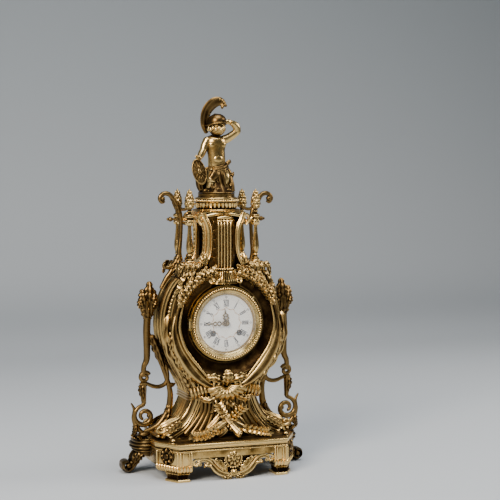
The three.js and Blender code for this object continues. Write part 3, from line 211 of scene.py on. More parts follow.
def frame_at(path, t, face):
    """Place, side and lift of a path at part t; face is the direction that its front looks in."""
    here = Vector(along(path, t))
    ahead = Vector(along(path, min(t + 0.01, 1))) - Vector(along(path, max(t - 0.01, 0)))
    ahead.normalize()
    side = cross(ahead, face)
    side.normalize()
    return here, side, cross(side, ahead)


def swept(name, path, widths, depths, face=(0, -1, 0), steps=24, sides=12, ribs=(0, 0), groove=0):
    """A closed bar along a path; widths and depths are half sizes that change from end to end.

    ribs is (number, depth) round the bar; groove hollows its front along the middle.
    """

    def formula(u, v):
        here, side, lift = frame_at(path, v, face)
        angle = 2 * math.pi * u
        close = 0 if v in (0, 1) else 1
        size = 1 + ribs[1] * math.cos(ribs[0] * angle)
        hollow = 1 - groove * math.exp(-((math.cos(angle) / 0.42) ** 2)) * (math.sin(angle) > 0)
        wide = along(widths, v)[0] * size * close
        deep = along(depths, v)[0] * size * close * hollow
        return here + side * (wide * math.cos(angle)) + lift * (deep * math.sin(angle))

    return surface(name, sides, steps, formula)


def flat(points, y=0.0):
    """[x, z] points as a path in the plane y; a third number moves one towards the back."""
    return [[p[0], y + (p[2] if len(p) > 2 else 0), p[1]] for p in points]


def single(values):
    """A list of numbers in the form that along() takes."""
    return [[value] for value in values]


def bar(name, points, sizes, y=0.0, flatness=1.0, steps=24, sides=10, **more):
    """A rounded bar in one plane with the given half widths."""
    return swept(
        name, flat(points, y), single(sizes), single([s * flatness for s in sizes]),
        steps=steps, sides=sides, **more,
    )


def copy_to(master, name, place):
    """A copy of a master with its own mesh, each point moved by place(x, y, z)."""
    piece = bpy.data.objects.new(name, master.data.copy())
    bpy.context.scene.collection.objects.link(piece)
    for vertex in piece.data.vertices:
        vertex.co = at(*place(*vertex.co))
    return piece


def leaf_on(name, path, width, height=3.0, face=(0, -1, 0), kind="leaf"):
    """A leaf laid along a path, with its midrib on the path and its front looking to face."""

    def place(x, y, z):
        here, side, lift = frame_at(path, y, face)
        return here + side * (x * width) + lift * (z * height)

    return copy_to(MASTERS[kind], name, place)


def bead_at(name, centre, radius, kind="bead", stretch=(1, 1, 1)):
    """A bead of the given radius at a place."""
    return copy_to(
        MASTERS[kind],
        name,
        lambda x, y, z: (
            centre[0] + x * radius * stretch[0],
            centre[1] + y * radius * stretch[1],
            centre[2] + z * radius * stretch[2],
        ),
    )


def beads_on(name, path, radius, count, kind="bead"):
    """Beads at even parts of a path."""
    return [bead_at(name, along(path, i / max(count - 1, 1)), radius, kind) for i in range(count)]


def joined(name, pieces):
    """The pieces as one object."""
    select_only(*pieces)
    if len(pieces) > 1:
        bpy.ops.object.join()
    whole = bpy.context.view_layer.objects.active
    whole.name = name
    return whole


def twin(piece, name):
    """The piece mirrored to the other side of the clock."""
    other = bpy.data.objects.new(name, piece.data.copy())
    bpy.context.scene.collection.objects.link(other)
    other.data.transform(Matrix.Scale(-1, 4, (1, 0, 0)))
    other.data.flip_normals()
    return other


def both(pieces, name="twin"):
    """The pieces and their mirrored twins."""
    return pieces + [twin(piece, name) for piece in pieces]


def casting_of(node, name, edge=0.6):
    """A copy of a flat-sided frame node with its edges rounded."""
    piece = bpy.data.objects.new(name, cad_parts[node].data.copy())
    bpy.context.scene.collection.objects.link(piece)
    piece.data.materials.clear()
    select_only(piece)
    bpy.ops.object.mode_set(mode="EDIT")
    bpy.ops.mesh.select_all(action="SELECT")
    bpy.ops.mesh.remove_doubles(threshold=0.00002)
    bpy.ops.mesh.dissolve_limited(angle_limit=math.radians(2))
    bpy.ops.object.mode_set(mode="OBJECT")
    bevel = piece.modifiers.new("rounded edges", "BEVEL")
    bevel.width = edge * MM
    bevel.segments = 2
    bevel.limit_method = "ANGLE"
    bevel.angle_limit = math.radians(25)
    bpy.ops.object.modifier_apply(modifier=bevel.name)
    return piece


def keep_inside(piece):
    """Flattens what reaches beyond the frame's overall box, such as the soles of the feet."""
    for vertex in piece.data.vertices:
        vertex.co = [min(max(c, low), high) for c, low, high in zip(vertex.co, *CAD_BOX)]


def finish(piece, material, slot, body="clock_case", nodes=(), angle=38):
    """Gives a piece its material, smooth shading and body, and hides the nodes it stands for; slot is not used.
    """
    keep_inside(piece)
    piece.data.materials.clear()
    piece.data.materials.append(material)
    select_only(piece)
    bpy.ops.object.shade_smooth_by_angle(angle=math.radians(angle))
    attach(piece, body)
    if nodes:
        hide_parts(*nodes)
    return piece


# ---- Masters: ornament that repeats -------------------------------------------------------------

MASTERS = {}


def leaf_master(lobes, across, along_count, edge):
    """An acanthus leaf one unit long, half width and height one unit, flat at the back."""

    def formula(u, v):
        angle = 2 * math.pi * u
        side = math.cos(angle)
        outline = math.sin(math.pi * min(v ** 0.75, 1)) ** 0.55 if 0 < v < 1 else 0
        scallop = 1 - edge * (1 - abs(math.sin(math.pi * (lobes * v + 0.15)))) * (v < 0.93)
        reach = outline * scallop
        if math.sin(angle) < 0:
            return side * reach, v, -0.12 * outline * abs(math.sin(angle))
        vein = 0.22 * math.cos(2 * math.pi * (lobes * v - 1.1 * abs(side))) * abs(side)
        rib = 0.45 * math.exp(-((side / 0.16) ** 2))
        crown = math.sin(angle) ** 0.6 * outline
        return side * reach, v, crown * (0.55 + vein + rib - 0.18 * abs(side))

    return unit_surface("leaf master", across, along_count, formula)


def unit_surface(name, across, along_count, formula):
    """A grid primitive bent by formula(u, v) in bare units, as a master to copy."""
    bpy.ops.object.select_all(action="DESELECT")
    bpy.ops.mesh.primitive_grid_add(x_subdivisions=across, y_subdivisions=along_count, size=1)
    piece = bpy.context.active_object
    piece.name = name
    for vertex in piece.data.vertices:
        u = round((vertex.co.x + 0.5) * across) / across
        v = round((vertex.co.y + 0.5) * along_count) / along_count
        vertex.co = Vector(formula(u, v))
    select_only(piece)
    bpy.ops.object.mode_set(mode="EDIT")
    bpy.ops.mesh.select_all(action="SELECT")
    bpy.ops.mesh.remove_doubles(threshold=0.0005)
    bpy.ops.mesh.normals_make_consistent(inside=False)
    bpy.ops.object.mode_set(mode="OBJECT")
    return piece


def make_masters():
    MASTERS["leaf"] = leaf_master(5, 16, 30, 0.34)
    MASTERS["small leaf"] = leaf_master(1, 8, 6, 0.0)
    bpy.ops.object.select_all(action="DESELECT")
    bpy.ops.mesh.primitive_uv_sphere_add(segments=8, ring_count=6, radius=1)
    MASTERS["bead"] = bpy.context.active_object
    bpy.ops.object.select_all(action="DESELECT")
    bpy.ops.mesh.primitive_uv_sphere_add(segments=32, ring_count=20, radius=1)
    MASTERS["ball"] = bpy.context.active_object
    bpy.ops.object.select_all(action="DESELECT")
    bpy.ops.mesh.primitive_cube_add(size=1)
    MASTERS["block"] = bpy.context.active_object


def drop_masters():
    for master in MASTERS.values():
        bpy.data.objects.remove(master)
    MASTERS.clear()


# ---- Materials --------------------------------------------------------------------------------


def linear(colour):
    """An sRGB hex colour as the linear colour that the shader takes."""
    parts = [int(colour[i:i + 2], 16) / 255 for i in (1, 3, 5)]
    return [c / 12.92 if c <= 0.04045 else ((c + 0.055) / 1.055) ** 2.4 for c in parts] + [1]


def node(tree, kind, links=None, **settings):
    """Adds a node; settings name its properties or inputs, links its linked inputs."""
    made = tree.nodes.new(kind)
    for key, value in settings.items():
        if key.startswith("in_"):
            made.inputs[int(key[3:])].default_value = value
        else:
            setattr(made, key, value)
    for socket, source in (links or {}).items():
        tree.links.new(source, made.inputs[socket])
    return made


def new_material(name):
    material = bpy.data.materials.new(name)
    material.use_nodes = True
    tree = material.node_tree
    shader = tree.nodes["Principled BSDF"]
    place = node(tree, "ShaderNodeTexCoord").outputs["Object"]
    return material, tree, shader, place


def cast_bronze(name, bright, middle, patina_and_painted_shade, polish=0.34, cover=0.5, recess_mm=10):
    """Cast bronze: lighter on its edges, partly rubbed gilding and partly painted highlight, and dark in the
    hollows, partly brown patination and partly painted shade from an occlusion node.

    cover, from 0 to 1, is how much of the open surface the patina still covers.
    """
    material, tree, shader, place = new_material(name)
    # painted shade: the occlusion node darkens the hollows, where shade falls, together with their real brown
    # patination
    hollow = node(tree, "ShaderNodeAmbientOcclusion", samples=6, in_1=recess_mm * MM)
    blotch = node(tree, "ShaderNodeTexNoise", {0: place}, in_2=1 / (18 * MM), in_3=4, in_4=0.6)
    grain = node(tree, "ShaderNodeTexNoise", {0: place}, in_2=1 / (2.2 * MM), in_3=3, in_4=0.6)
    # the sharpest edges take the bright colour: partly rubbed gilding and partly painted highlight
    edge = node(
        tree, "ShaderNodeMapRange", {0: node(tree, "ShaderNodeNewGeometry").outputs["Pointiness"]},
        in_1=0.5, in_2=0.58,
    )
    shade = node(
        tree, "ShaderNodeMapRange", {0: hollow.outputs["AO"]}, in_1=0.5, in_2=1.0,
    )
    painted_shade_and_blotch = node(
        tree, "ShaderNodeMath", {0: shade.outputs[0], 1: blotch.outputs[0]}, operation="MULTIPLY",
    )
    # adds the edges to the painted shade and blotches; where the sum is low the dark colour of patination and
    # painted shade goes on
    rubbed = node(
        tree, "ShaderNodeMath", {0: painted_shade_and_blotch.outputs[0], 1: edge.outputs[0]}, operation="ADD",
    )
    mask = node(
        tree, "ShaderNodeMapRange", {0: rubbed.outputs[0]},
        in_1=0.12 + 0.22 * cover, in_2=0.30 + 0.45 * cover,
    )
    glint = node(
        tree, "ShaderNodeMath", {0: blotch.outputs[0], 1: edge.outputs[0]}, operation="ADD",
    )
    tone = node(tree, "ShaderNodeMapRange", {0: glint.outputs[0]}, in_1=0.45, in_2=1.0)
    metal = node(
        tree, "ShaderNodeMix", {0: tone.outputs[0]}, data_type="RGBA",
        in_6=linear(middle), in_7=linear(bright),
    )
    colour = node(
        tree, "ShaderNodeMix", {0: mask.outputs[0], 7: metal.outputs[2]}, data_type="RGBA",
        in_6=linear(patina_and_painted_shade),
    )
    rough = node(
        tree, "ShaderNodeMapRange", {0: mask.outputs[0]}, in_1=0, in_2=1, in_3=0.62, in_4=polish,
    )
    relief = node(
        tree, "ShaderNodeBump", {"Height": grain.outputs[0]}, in_0=0.22, in_1=0.35 * MM,
    )
    tree.links.new(colour.outputs[2], shader.inputs["Base Color"])
    tree.links.new(rough.outputs[0], shader.inputs["Roughness"])
    tree.links.new(relief.outputs[0], shader.inputs["Normal"])
    shader.inputs["Metallic"].default_value = 1
    return material


def turned_metal(name, colour, dark, polish, ring_mm=0.5):
    """Turned and lacquered metal: fine rings from the lathe and a little tarnish."""
    material, tree, shader, place = new_material(name)
    cloud = node(tree, "ShaderNodeTexNoise", {0: place}, in_2=1 / (9 * MM), in_3=3, in_4=0.5)
    tint = node(
        tree, "ShaderNodeMix", {0: cloud.outputs[0]}, data_type="RGBA",
        in_6=linear(dark), in_7=linear(colour),
    )
    rings = node(
        tree, "ShaderNodeTexNoise", {0: place}, in_2=1 / (ring_mm * MM), in_3=2, in_4=0.5,
    )
    relief = node(
        tree, "ShaderNodeBump", {"Height": rings.outputs[0]}, in_0=0.1, in_1=0.05 * MM,
    )
    rough = node(
        tree, "ShaderNodeMapRange", {0: cloud.outputs[0]}, in_1=0.3, in_2=0.7,
        in_3=polish, in_4=polish + 0.12,
    )
    tree.links.new(tint.outputs[2], shader.inputs["Base Color"])
    tree.links.new(rough.outputs[0], shader.inputs["Roughness"])
    tree.links.new(relief.outputs[0], shader.inputs["Normal"])
    shader.inputs["Metallic"].default_value = 1
    return material


def enamel(name, colour, shade, gloss=0.16):
    """Vitreous enamel on copper: milky, glossy and very slightly uneven."""
    material, tree, shader, place = new_material(name)
    cloud = node(tree, "ShaderNodeTexNoise", {0: place}, in_2=1 / (14 * MM), in_3=2, in_4=0.5)
    tint = node(
        tree, "ShaderNodeMix", {0: cloud.outputs[0]}, data_type="RGBA",
        in_6=linear(shade), in_7=linear(colour),
    )
    relief = node(tree, "ShaderNodeBump", {"Height": cloud.outputs[0]}, in_0=0.08, in_1=0.1 * MM)
    tree.links.new(tint.outputs[2], shader.inputs["Base Color"])
    tree.links.new(relief.outputs[0], shader.inputs["Normal"])
    shader.inputs["Roughness"].default_value = gloss
    shader.inputs["IOR"].default_value = 1.52
    return material


def clear_glass(name):
    """Thin domed clock glass: almost colourless, with clean reflections."""
    material, tree, shader, place = new_material(name)
    cloud = node(tree, "ShaderNodeTexNoise", {0: place}, in_2=1 / (30 * MM), in_3=1, in_4=0.5)
    rough = node(
        tree, "ShaderNodeMapRange", {0: cloud.outputs[0]}, in_1=0, in_2=1, in_3=0.0, in_4=0.04,
    )
    tree.links.new(rough.outputs[0], shader.inputs["Roughness"])
    shader.inputs["Base Color"].default_value = linear("#fbfdfd")
    shader.inputs["Alpha"].default_value = 0.07
    shader.inputs["IOR"].default_value = 1.5
    shader.inputs["Specular IOR Level"].default_value = 0.5
    return material


MATERIALS = {}


def make_materials():
    tones = bpy.context.scene.clock_finish

    def hex_of(colour):
        return "#" + "".join(f"{round(min(max(c, 0), 1) * 255):02x}" for c in colour)

    bright, middle, patina_and_painted_shade = hex_of(tones.bright), hex_of(tones.middle), hex_of(tones.patina_and_painted_shade)
    # bright mercury-gilt bronze, rubbed back to gold on all that a duster reaches, with painted highlight on the
    # edges and painted shade in the hollows
    MATERIALS["gilt"] = cast_bronze("mercury gilt bronze", bright, middle, patina_and_painted_shade, 0.26, 0.75)
    # the same casting where the gilding has toned down and more of the dark colour shows, partly brown
    # patination and partly painted shade
    MATERIALS["bronze"] = cast_bronze("toned gilt bronze", "#c2a266", "#76592e", patina_and_painted_shade, 0.30, 0.85)
    # dark brown patination with painted shade in the hollows, rubbed only on the outermost edges
    MATERIALS["dark"] = cast_bronze("dark patinated bronze", "#80653a", "#442f18", "#150d06", 0.34,
        0.9)
    # lacquered brass of the movement and the dial's fittings
    MATERIALS["brass"] = turned_metal("lacquered clock brass", "#d9b568", "#a9823d", 0.26)
    # pale polished brass of the inner bezel and the door rings
    MATERIALS["bezel"] = turned_metal("polished brass", "#e6cf96", "#c2a25c", 0.17, 0.3)
    # polished arbors, pins and screws
    MATERIALS["steel"] = turned_metal("polished steel", "#b9bcc0", "#7d8187", 0.22, 0.3)
    # gilt pierced hands
    MATERIALS["hands"] = turned_metal("gilt brass of the hands", "#8f7442", "#4d3a1c", 0.3)
    MATERIALS["enamel"] = enamel("white vitreous enamel", "#f4f3ee", "#e6e6e2")
    # numerals fired into the enamel, blue-black and glossy
    MATERIALS["blue"] = enamel("blue-black fired enamel", "#0c1026", "#151a3a")
    # small painted garlands inside the hour ring
    MATERIALS["rose"] = enamel("rose and gold overglaze", "#b07a58", "#c39a63")
    MATERIALS["glass"] = clear_glass("clock glass")
    # near black, for the linings of the side winding holes and for the winding squares
    MATERIALS["black"] = enamel("near black", "#060606", "#0e0c0b", 0.55)


# ---- Base -------------------------------------------------------------------------------------

HALF_WIDTH = 95.0
FRONT = 71.0
REAR = 34.0
CHAMFER = Vector((21.0, 36.0))
SLOPE = CHAMFER.length
DOWN_CHAMFER = Vector((-CHAMFER.x, -CHAMFER.y, 0)) / SLOPE
OUT_OF_CHAMFER = Vector((CHAMFER.y, -CHAMFER.x, 0)) / SLOPE
CHAMFER_MIDDLE = Vector((HALF_WIDTH - CHAMFER.x / 2, -FRONT + CHAMFER.y / 2, 0))


def plan(inset):
    """The six corners [x, y] of the base, moved inwards by inset."""
    shift_x = inset * (SLOPE - CHAMFER.x) / CHAMFER.y
    shift_y = inset * (SLOPE - CHAMFER.y) / CHAMFER.x
    half = [
        (HALF_WIDTH - inset, REAR - inset),
        (HALF_WIDTH - inset, -FRONT + CHAMFER.y + shift_x),
        (HALF_WIDTH - CHAMFER.x - shift_y, -FRONT + inset),
    ]
    return half + [(-x, y) for x, y in reversed(half)]


def round_plan(name, profile):
    """A moulding of closed section [inset, z] that follows the plan of the base."""

    def formula(u, v):
        inset, z = profile[round(u * len(profile)) % len(profile)]
        x, y = plan(inset)[round(v * 6) % 6]
        return x, y, z

    return surface(name, len(profile), 6, formula)


def on_chamfer(name, across, along_count, formula):
    """A surface in the plane of the right-hand corner face: along it, outwards and up."""

    def place(u, v):
        a, out, z = formula(u, v)
        point = CHAMFER_MIDDLE + DOWN_CHAMFER * a + OUT_OF_CHAMFER * out
        return point.x, point.y, z

    return surface(name, across, along_count, place)


def half_round(inset, z, radius, count=8):
    """Section of a bead moulding that stands out of the wall."""
    return [
        (
            inset - radius * math.sin(math.pi * i / (count - 1)) + (0.4 if i in (0,
                count - 1) else 0),
            z - radius * math.cos(math.pi * i / (count - 1)),
        )
        for i in range(count)
    ]


def strip(name, path, radius, face=(0, -1, 0), steps=12):
    """A thin half-round strip."""
    return swept(name, path, single([radius] * 2), single([radius] * 2), face, steps, 8)


class CLOCK_OT_base(bpy.types.Operator):
    """Base casting: walls, mouldings, corner panels, gadroons and the dark stepped top"""

    bl_idname = "clock.base"
    bl_label = "Base"

    def execute(self, context):
        top = BASE_TOP
        walls = casting_of("base_casting", "base", 0.5)
        trim = [
            round_plan("bead", half_round(0.2, top - 9.5, 1.1)),
            round_plan("bead", half_round(-0.6, top - 1.2, 1.2)),
            round_plan("cove", [(0.3, top - 6.4), (-1.2, top - 6), (-1.6, top - 5),
                (0.3, top - 5)]),
        ]
        sides = []
        for a in (-18.2, 18.2):
            point = CHAMFER_MIDDLE + DOWN_CHAMFER * a + OUT_OF_CHAMFER * 0.2
            sides.append(strip("edge", [(point.x, point.y, 19), (point.x, point.y, top - 10)], 1.5,
                tuple(OUT_OF_CHAMFER)))
        for z in (20.5, top - 11.5):
            ends = [CHAMFER_MIDDLE + DOWN_CHAMFER * a + OUT_OF_CHAMFER * 0.2 for a in (-18, 18)]
            sides.append(strip("edge", [(p.x, p.y, z) for p in ends], 0.9, tuple(OUT_OF_CHAMFER)))
        # upright slot in the narrow face beside each corner
        slot_path = [(60.5, 21.5), (60.5, 37), (64.5, 38.5), (68.5, 37), (68.5, 21.5), (64.5, 20.3),
            (60.5, 21.5)]
        sides.append(swept("slot rim", flat(slot_path, -FRONT - 0.1), single([0.9] * 2),
            single([1.1] * 2), steps=36, sides=8))
        sides.append(strip("arris", [(57.4, -FRONT, 19), (57.4, -FRONT, top - 10)], 1.2))
        sides.append(strip("arris", [(72.6, -FRONT, 19), (72.6, -FRONT, top - 10)], 1.2))
        sides += self.gadroons()
        # turned knob on the top of each front corner
        knob = turned("knob", [(0, -1), (3.4, -1), (3.6, 0.4), (1.7, 1.4), (2.9, 3.2), (2.2, 5),
            (0, 5.6)],
                      (78, -56), 20, top, count=2)
        sides.append(knob)
        piece = joined("base", [walls] + trim + both(sides))
        finish(piece, MATERIALS["gilt"], "gilt_bronze", nodes=["base_casting"])
        rise = [(1.2, top - 0.4), (1.6, top + 0.5), (6, top + 0.7), (9.5, top + 1.4),
            (12, top + 2.8),
                (13.2, top + 3.1), (30, top + 3.1), (30, top - 0.4)]
        finish(round_plan("base_top", rise), MATERIALS["dark"], "gilt_bronze", angle=50)
        return {"FINISHED"}

    def gadroons(self):
        """Row of lobes that slopes inwards under each corner block."""
        lobes = []
        for start, end, count, face in (
            ((73.6, -FRONT), (56.6, -FRONT), 4, Vector((0, -1, 0))),
            ((HALF_WIDTH - 0.6, -FRONT + CHAMFER.y), (HALF_WIDTH - CHAMFER.x, -FRONT), 9,
                OUT_OF_CHAMFER),
        ):
            for i in range(count):
                t = (i + 0.5) / count
                x = start[0] + (end[0] - start[0]) * t
                y = start[1] + (end[1] - start[1]) * t
                inward = -face
                path = [
                    (x, y, 20.6),
                    (x + inward.x * -0.4, y + inward.y * -0.4, 17.5),
                    (x + inward.x * 3, y + inward.y * 3, 13.5),
                    (x + inward.x * 8, y + inward.y * 8, 11.2),
                ]
                lobes.append(swept("gadroon", path, single([1.0, 2.5, 2.4, 1.1]),
                    single([1.4, 2.8, 2.6, 1.4]), tuple(face), 8, 8))
        return lobes


class CLOCK_OT_rosettes(bpy.types.Operator):
    """Petalled rosette on each corner face"""

    bl_idname = "clock.rosettes"
    bl_label = "Corner rosettes"

    def execute(self, context):
        low, high = box_mm("right_rosette")
        middle = (low.z + high.z) / 2
        radius = (high.z - low.z) / 2

        def formula(u, v):
            angle = 2 * math.pi * u
            profile = [(1, -0.2), (1, 1.2), (0.96, 1.9), (0.88, 1.2), (0.78, 2.6), (0.6, 3.5),
                (0.42, 2.2),
                       (0.34, 1.8), (0.30, 3.0), (0.18, 3.7), (0, 3.9)]
            r, out = along(profile, v)
            petals = 1 + 0.07 * math.cos(8 * angle) * (0.38 < r < 0.9)
            out += 0.7 * math.cos(8 * angle) * (0.38 < r < 0.86) + 0.25 * math.cos(16 * angle) * (0.5 < r < 0.86)
            return r * petals * radius * math.cos(angle), out, middle + r * petals * radius * math.sin(angle)

        right = on_chamfer("right_rosette_petals", 64, 30, formula)
        left = twin(right, "left_rosette_petals")
        finish(right, MATERIALS["dark"], "patinated_bronze", nodes=["right_rosette"])
        finish(left, MATERIALS["dark"], "patinated_bronze", nodes=["left_rosette"])
        return {"FINISHED"}


class CLOCK_OT_apron(bpy.types.Operator):
    """Scrolled apron with a round mask, acanthus and a pendant"""

    bl_idname = "clock.apron"
    bl_label = "Front apron"

    def execute(self, context):
        y = -FRONT + 1.2
        half = [
            bar("scroll", [(4, 5.5), (13, 7.5), (22, 12), (29, 19.5), (35, 26), (43, 27.5),
                (48, 24.5), (46, 21.5), (43.5, 23)],
                [2.6, 4.2, 4.4, 3.8, 3.2, 2.6, 2.2, 1.9, 1.2], y, 0.75, 44, 12, groove=0.45),
            bar("inner", [(8, 12), (16, 15), (23, 21), (28, 27), (34, 29.3)],
                [1.2, 1.8, 1.7, 1.4, 0.7], y + 0.6, 0.8, 24, 8),
            bar("tip", [(44, 27.5), (50, 28.5), (54.5, 26.5), (53.6, 23.8), (51.6, 24.8)],
                [1.4, 1.7, 1.6, 1.5, 1.1], y, 0.8, 20, 8),
        ]
        half += [
            leaf_on("leaf", flat([(10, 10, 0), (17, 20, -2), (26, 28, -1)], y - 0.5), 4.5, 2.4),
            leaf_on("leaf", flat([(2, 6, 0), (9, 2.6, -1.8), (17, 5.4, 0)], y), 3.6, 2.2),
            leaf_on("leaf", flat([(28, 19, 0), (36, 21, -1.5), (41, 18.5, 0)], y), 3.0, 2.0),
            leaf_on("leaf", flat([(46, 25, 0), (51, 21.5, -1.2), (56, 22.4, 0)], y), 2.4, 1.8),
        ]
        web = bar("web", [(0, 33), (0, 27), (0, 18), (0, 9)], [34, 36, 24, 8], y + 3.2, 0.05, 16,
            24)
        profile = [(0, 0.2), (11.5, 0.2), (11.9, -1.8), (10.6, -2.7), (9.4, -1.6), (8.6, -2.2),
            (6.4, -4.3), (3.4, -3.4), (2.6, -4.6), (0, -5)]
        shell_z = 27.6

        def mask(u, v):
            radius, out = along(profile, v)
            angle = 2 * math.pi * u
            lobes = (3 < radius < 9.2) * math.cos(9 * angle)
            z = shell_z + (radius + 0.3 * lobes) * math.sin(angle) * 1.05
            return radius * math.cos(angle), y + out * 0.62 + 0.5 - 0.4 * lobes, z

        drop = [
            leaf_on("leaf", flat([(0, 12.5, 0), (0, 6, -1.8), (0, 2.9, 0)], y - 0.4), 5.5, 2.4),
            bead_at("pendant", (0, y, 4.6), 1.9),
            bar("stem", [(0, 11), (0, 5)], [3.5, 2], y + 0.8, 0.7, 6, 8),
        ]
        garland = [bead_at("bead", (12.9 * math.cos(a), y - 0.6, shell_z + 12.9 * math.sin(a)),
            1.0) for a in
                   [math.radians(d) for d in range(-170, -5, 15)]]
        piece = joined("apron_scrolls", both(half) + [web,
            surface("mask", 72, 27, mask)] + drop + garland)
        finish(piece, MATERIALS["gilt"], "gilt_bronze", nodes=["front_apron"])
        return {"FINISHED"}


class CLOCK_OT_front_feet(bpy.types.Operator):
    """Fluted tapering foot on a flat plate, under each front corner"""

    bl_idname = "clock.front_feet"
    bl_label = "Front feet"

    def execute(self, context):
        high = box_mm("right_front_foot")[1]
        centre = Vector((HALF_WIDTH - 22, -(FRONT - 14.5)))
        corners = [(-16, -15), (2.5, -15), (16.5, 7), (6, 15), (-16, 15)]

        def ring(scale, z):
            return [(centre.x + x * scale, centre.y - 0 + y * scale, z) for x, y in corners]

        stops = [(0.0, 0.0), (0.84, 0), (0.86, 0.7), (0.86, 2.5), (0.82, 3.2), (0.74, 3.5),
            (0.70, 4.4),
                 (0.74, 8.6), (0.80, 9.8), (0.84, 10.6), (0.80, 11.4), (0.84, 13), (0.94, 16),
                 (0.97, high.z), (0.0, high.z)]
        turn = len(corners)

        def formula(u, v):
            scale, z = stops[round(v * (len(stops) - 1))]
            points = ring(scale, z)
            where = u * turn
            i = int(where) % turn
            f = where - int(where)
            a, b = Vector(points[i]), Vector(points[(i + 1) % turn])
            point = a.lerp(b, f)
            if 3.5 < z < 9 or 12 < z < 17:
                inward = (Vector((centre.x, centre.y, z)) - point).normalized()
                point += inward * 1.7 * abs(math.sin(math.pi * f * 4)) ** 0.7
            return point

        right = surface("right_foot", turn * 24, len(stops) - 1, formula)
        left = twin(right, "left_foot")
        finish(right, MATERIALS["gilt"], "gilt_bronze", nodes=["right_front_foot"], angle=34)
        finish(left, MATERIALS["gilt"], "gilt_bronze", nodes=["left_front_foot"], angle=34)
        return {"FINISHED"}


class CLOCK_OT_scroll_feet(bpy.types.Operator):
    """Ribbed shell and leafy volute at each side of the base"""

    bl_idname = "clock.scroll_feet"
    bl_label = "Scroll feet"

    def execute(self, context):
        low, high = box_mm("right_rear_scroll_foot")
        reach = high.x
        middle = (low.y + high.y) / 2 - MIDDLE_Y + 3

        def shell(u, v):
            # a bulging cap with level ribs, from the side wall outwards
            stops = [(0, 48.4), (9, 48.0), (15, 46), (19.5, 42), (21, 37), (18.5, 32), (14, 28),
                (8, 25), (0, 23)]
            out, z = along(stops, v)
            rib = 1 + 0.06 * math.cos(2 * math.pi * v * 9)
            angle = math.pi * (u - 0.5)
            depth = 24 * (1 - 0.35 * abs(v - 0.45))
            return (
                HALF_WIDTH + 0.6 + out * rib * math.cos(angle) ** 0.6,
                middle - 4 + depth * math.sin(angle) * (0.7 + 0.3 * rib),
                z,
            )

        parts = [surface("shell", 28, 48, shell)]
        # broad leafy leg that curls down and out to the volute
        path = [(HALF_WIDTH + 2, middle, 34), (HALF_WIDTH + 9, middle, 26),
            (HALF_WIDTH + 14, middle, 17),
                (HALF_WIDTH + 20, middle, 7), (reach - 8, middle, 3.6), (reach - 2.6, middle, 7.6),
                (reach - 2.8, middle, 13.5), (reach - 7.6, middle, 15.2),
                (reach - 10.4, middle, 11.4),
                (reach - 7.4, middle, 8.8)]
        parts.append(swept("leg", path, single([13, 14, 12.5, 12, 12, 12, 12, 11.5, 11, 10.5]),
                           single([7, 7, 5.6, 4, 3.3, 3, 2.7, 2.4, 2.2, 1.8]), (1, 0, 0.6), 54, 20,
                           ribs=(6, 0.07)))
        for side in (-1, 1):
            y = middle + side * 10.6
            parts.append(bead_at("eye", (reach - 8.6, y + side * 0.6, 10.2), 3.0, "ball",
                (1, 0.7, 1)))
            parts.append(leaf_on("leaf", [(HALF_WIDTH + 4, y, 29),
                (HALF_WIDTH + 13, y + side * 1.6, 21), (HALF_WIDTH + 21, y, 8.5)],
                                 6.5, 2.6, (0.3, side, 0.2)))
        parts.append(leaf_on("leaf", [(HALF_WIDTH + 5, middle, 33), (HALF_WIDTH + 17, middle, 25),
            (reach - 12, middle, 13), (reach - 6, middle, 16.4)],
                             11, 3.4, (1, 0, 0.7)))
        parts.append(leaf_on("leaf", [(HALF_WIDTH + 4, middle - 13, 34),
            (HALF_WIDTH + 13, middle - 17, 26), (HALF_WIDTH + 17, middle - 14, 17)],
                             6, 2.6, (0.8, -0.5, 0.3)))
        # tuft of leaves that the side bracket grows out of
        for x, y, lean in ((0, 9, -4), (7, 4, 5), (9, -3, 8), (2, -8, -2), (12, 2, 12)):
            parts.append(leaf_on("leaf", [(HALF_WIDTH + x, y, 46),
                (HALF_WIDTH + x + lean * 0.5, y * 1.2, 49.5), (HALF_WIDTH + x + lean, y * 1.5, 52)],
                                 4, 1.8, (0.4, -0.6, 1)))
        right = joined("right_scroll_foot", parts)
        left = twin(right, "left_scroll_foot")
        finish(right, MATERIALS["dark"], "dark_bronze", nodes=["right_rear_scroll_foot"])
        finish(left, MATERIALS["dark"], "dark_bronze", nodes=["left_rear_scroll_foot"])
        return {"FINISHED"}


# ---- Case -------------------------------------------------------------------------------------

OUTLINE = [(92, 0), (87, 7), (66.5, 17), (56, 29), (49, 43), (47, 52), (49, 64), (64, 90),
           (76, 116), (81, 145), (77, 174), (66, 198), (48, 216)]

# mouldings of the side wall: how far each line lies inside the outline, and its depth
SIDE_LINES = [(9.6, -34.2), (8.9, -35.9), (6.2, -35.9), (5.5, -34.4), (4.6, -33.2), (4.4, -31.2),
    (6.9, -30.2),
              (7.6, -27), (6.9, -23.8), (4.0, -22.8), (3.4, -20.6), (0.7, -19.6), (0.05, -15),
              (0.05, -5)]


def half_width(height):
    """Half width of the case at a height above its bottom."""
    for (x0, z0), (x1, z1) in zip(OUTLINE, OUTLINE[1:]):
        if z0 <= height <= z1:
            break
    low, high = 0.0, 1.0
    for _ in range(30):
        middle = (low + high) / 2
        if along(OUTLINE, middle)[1] < height:
            low = middle
        else:
            high = middle
    return along(OUTLINE, low)[0]


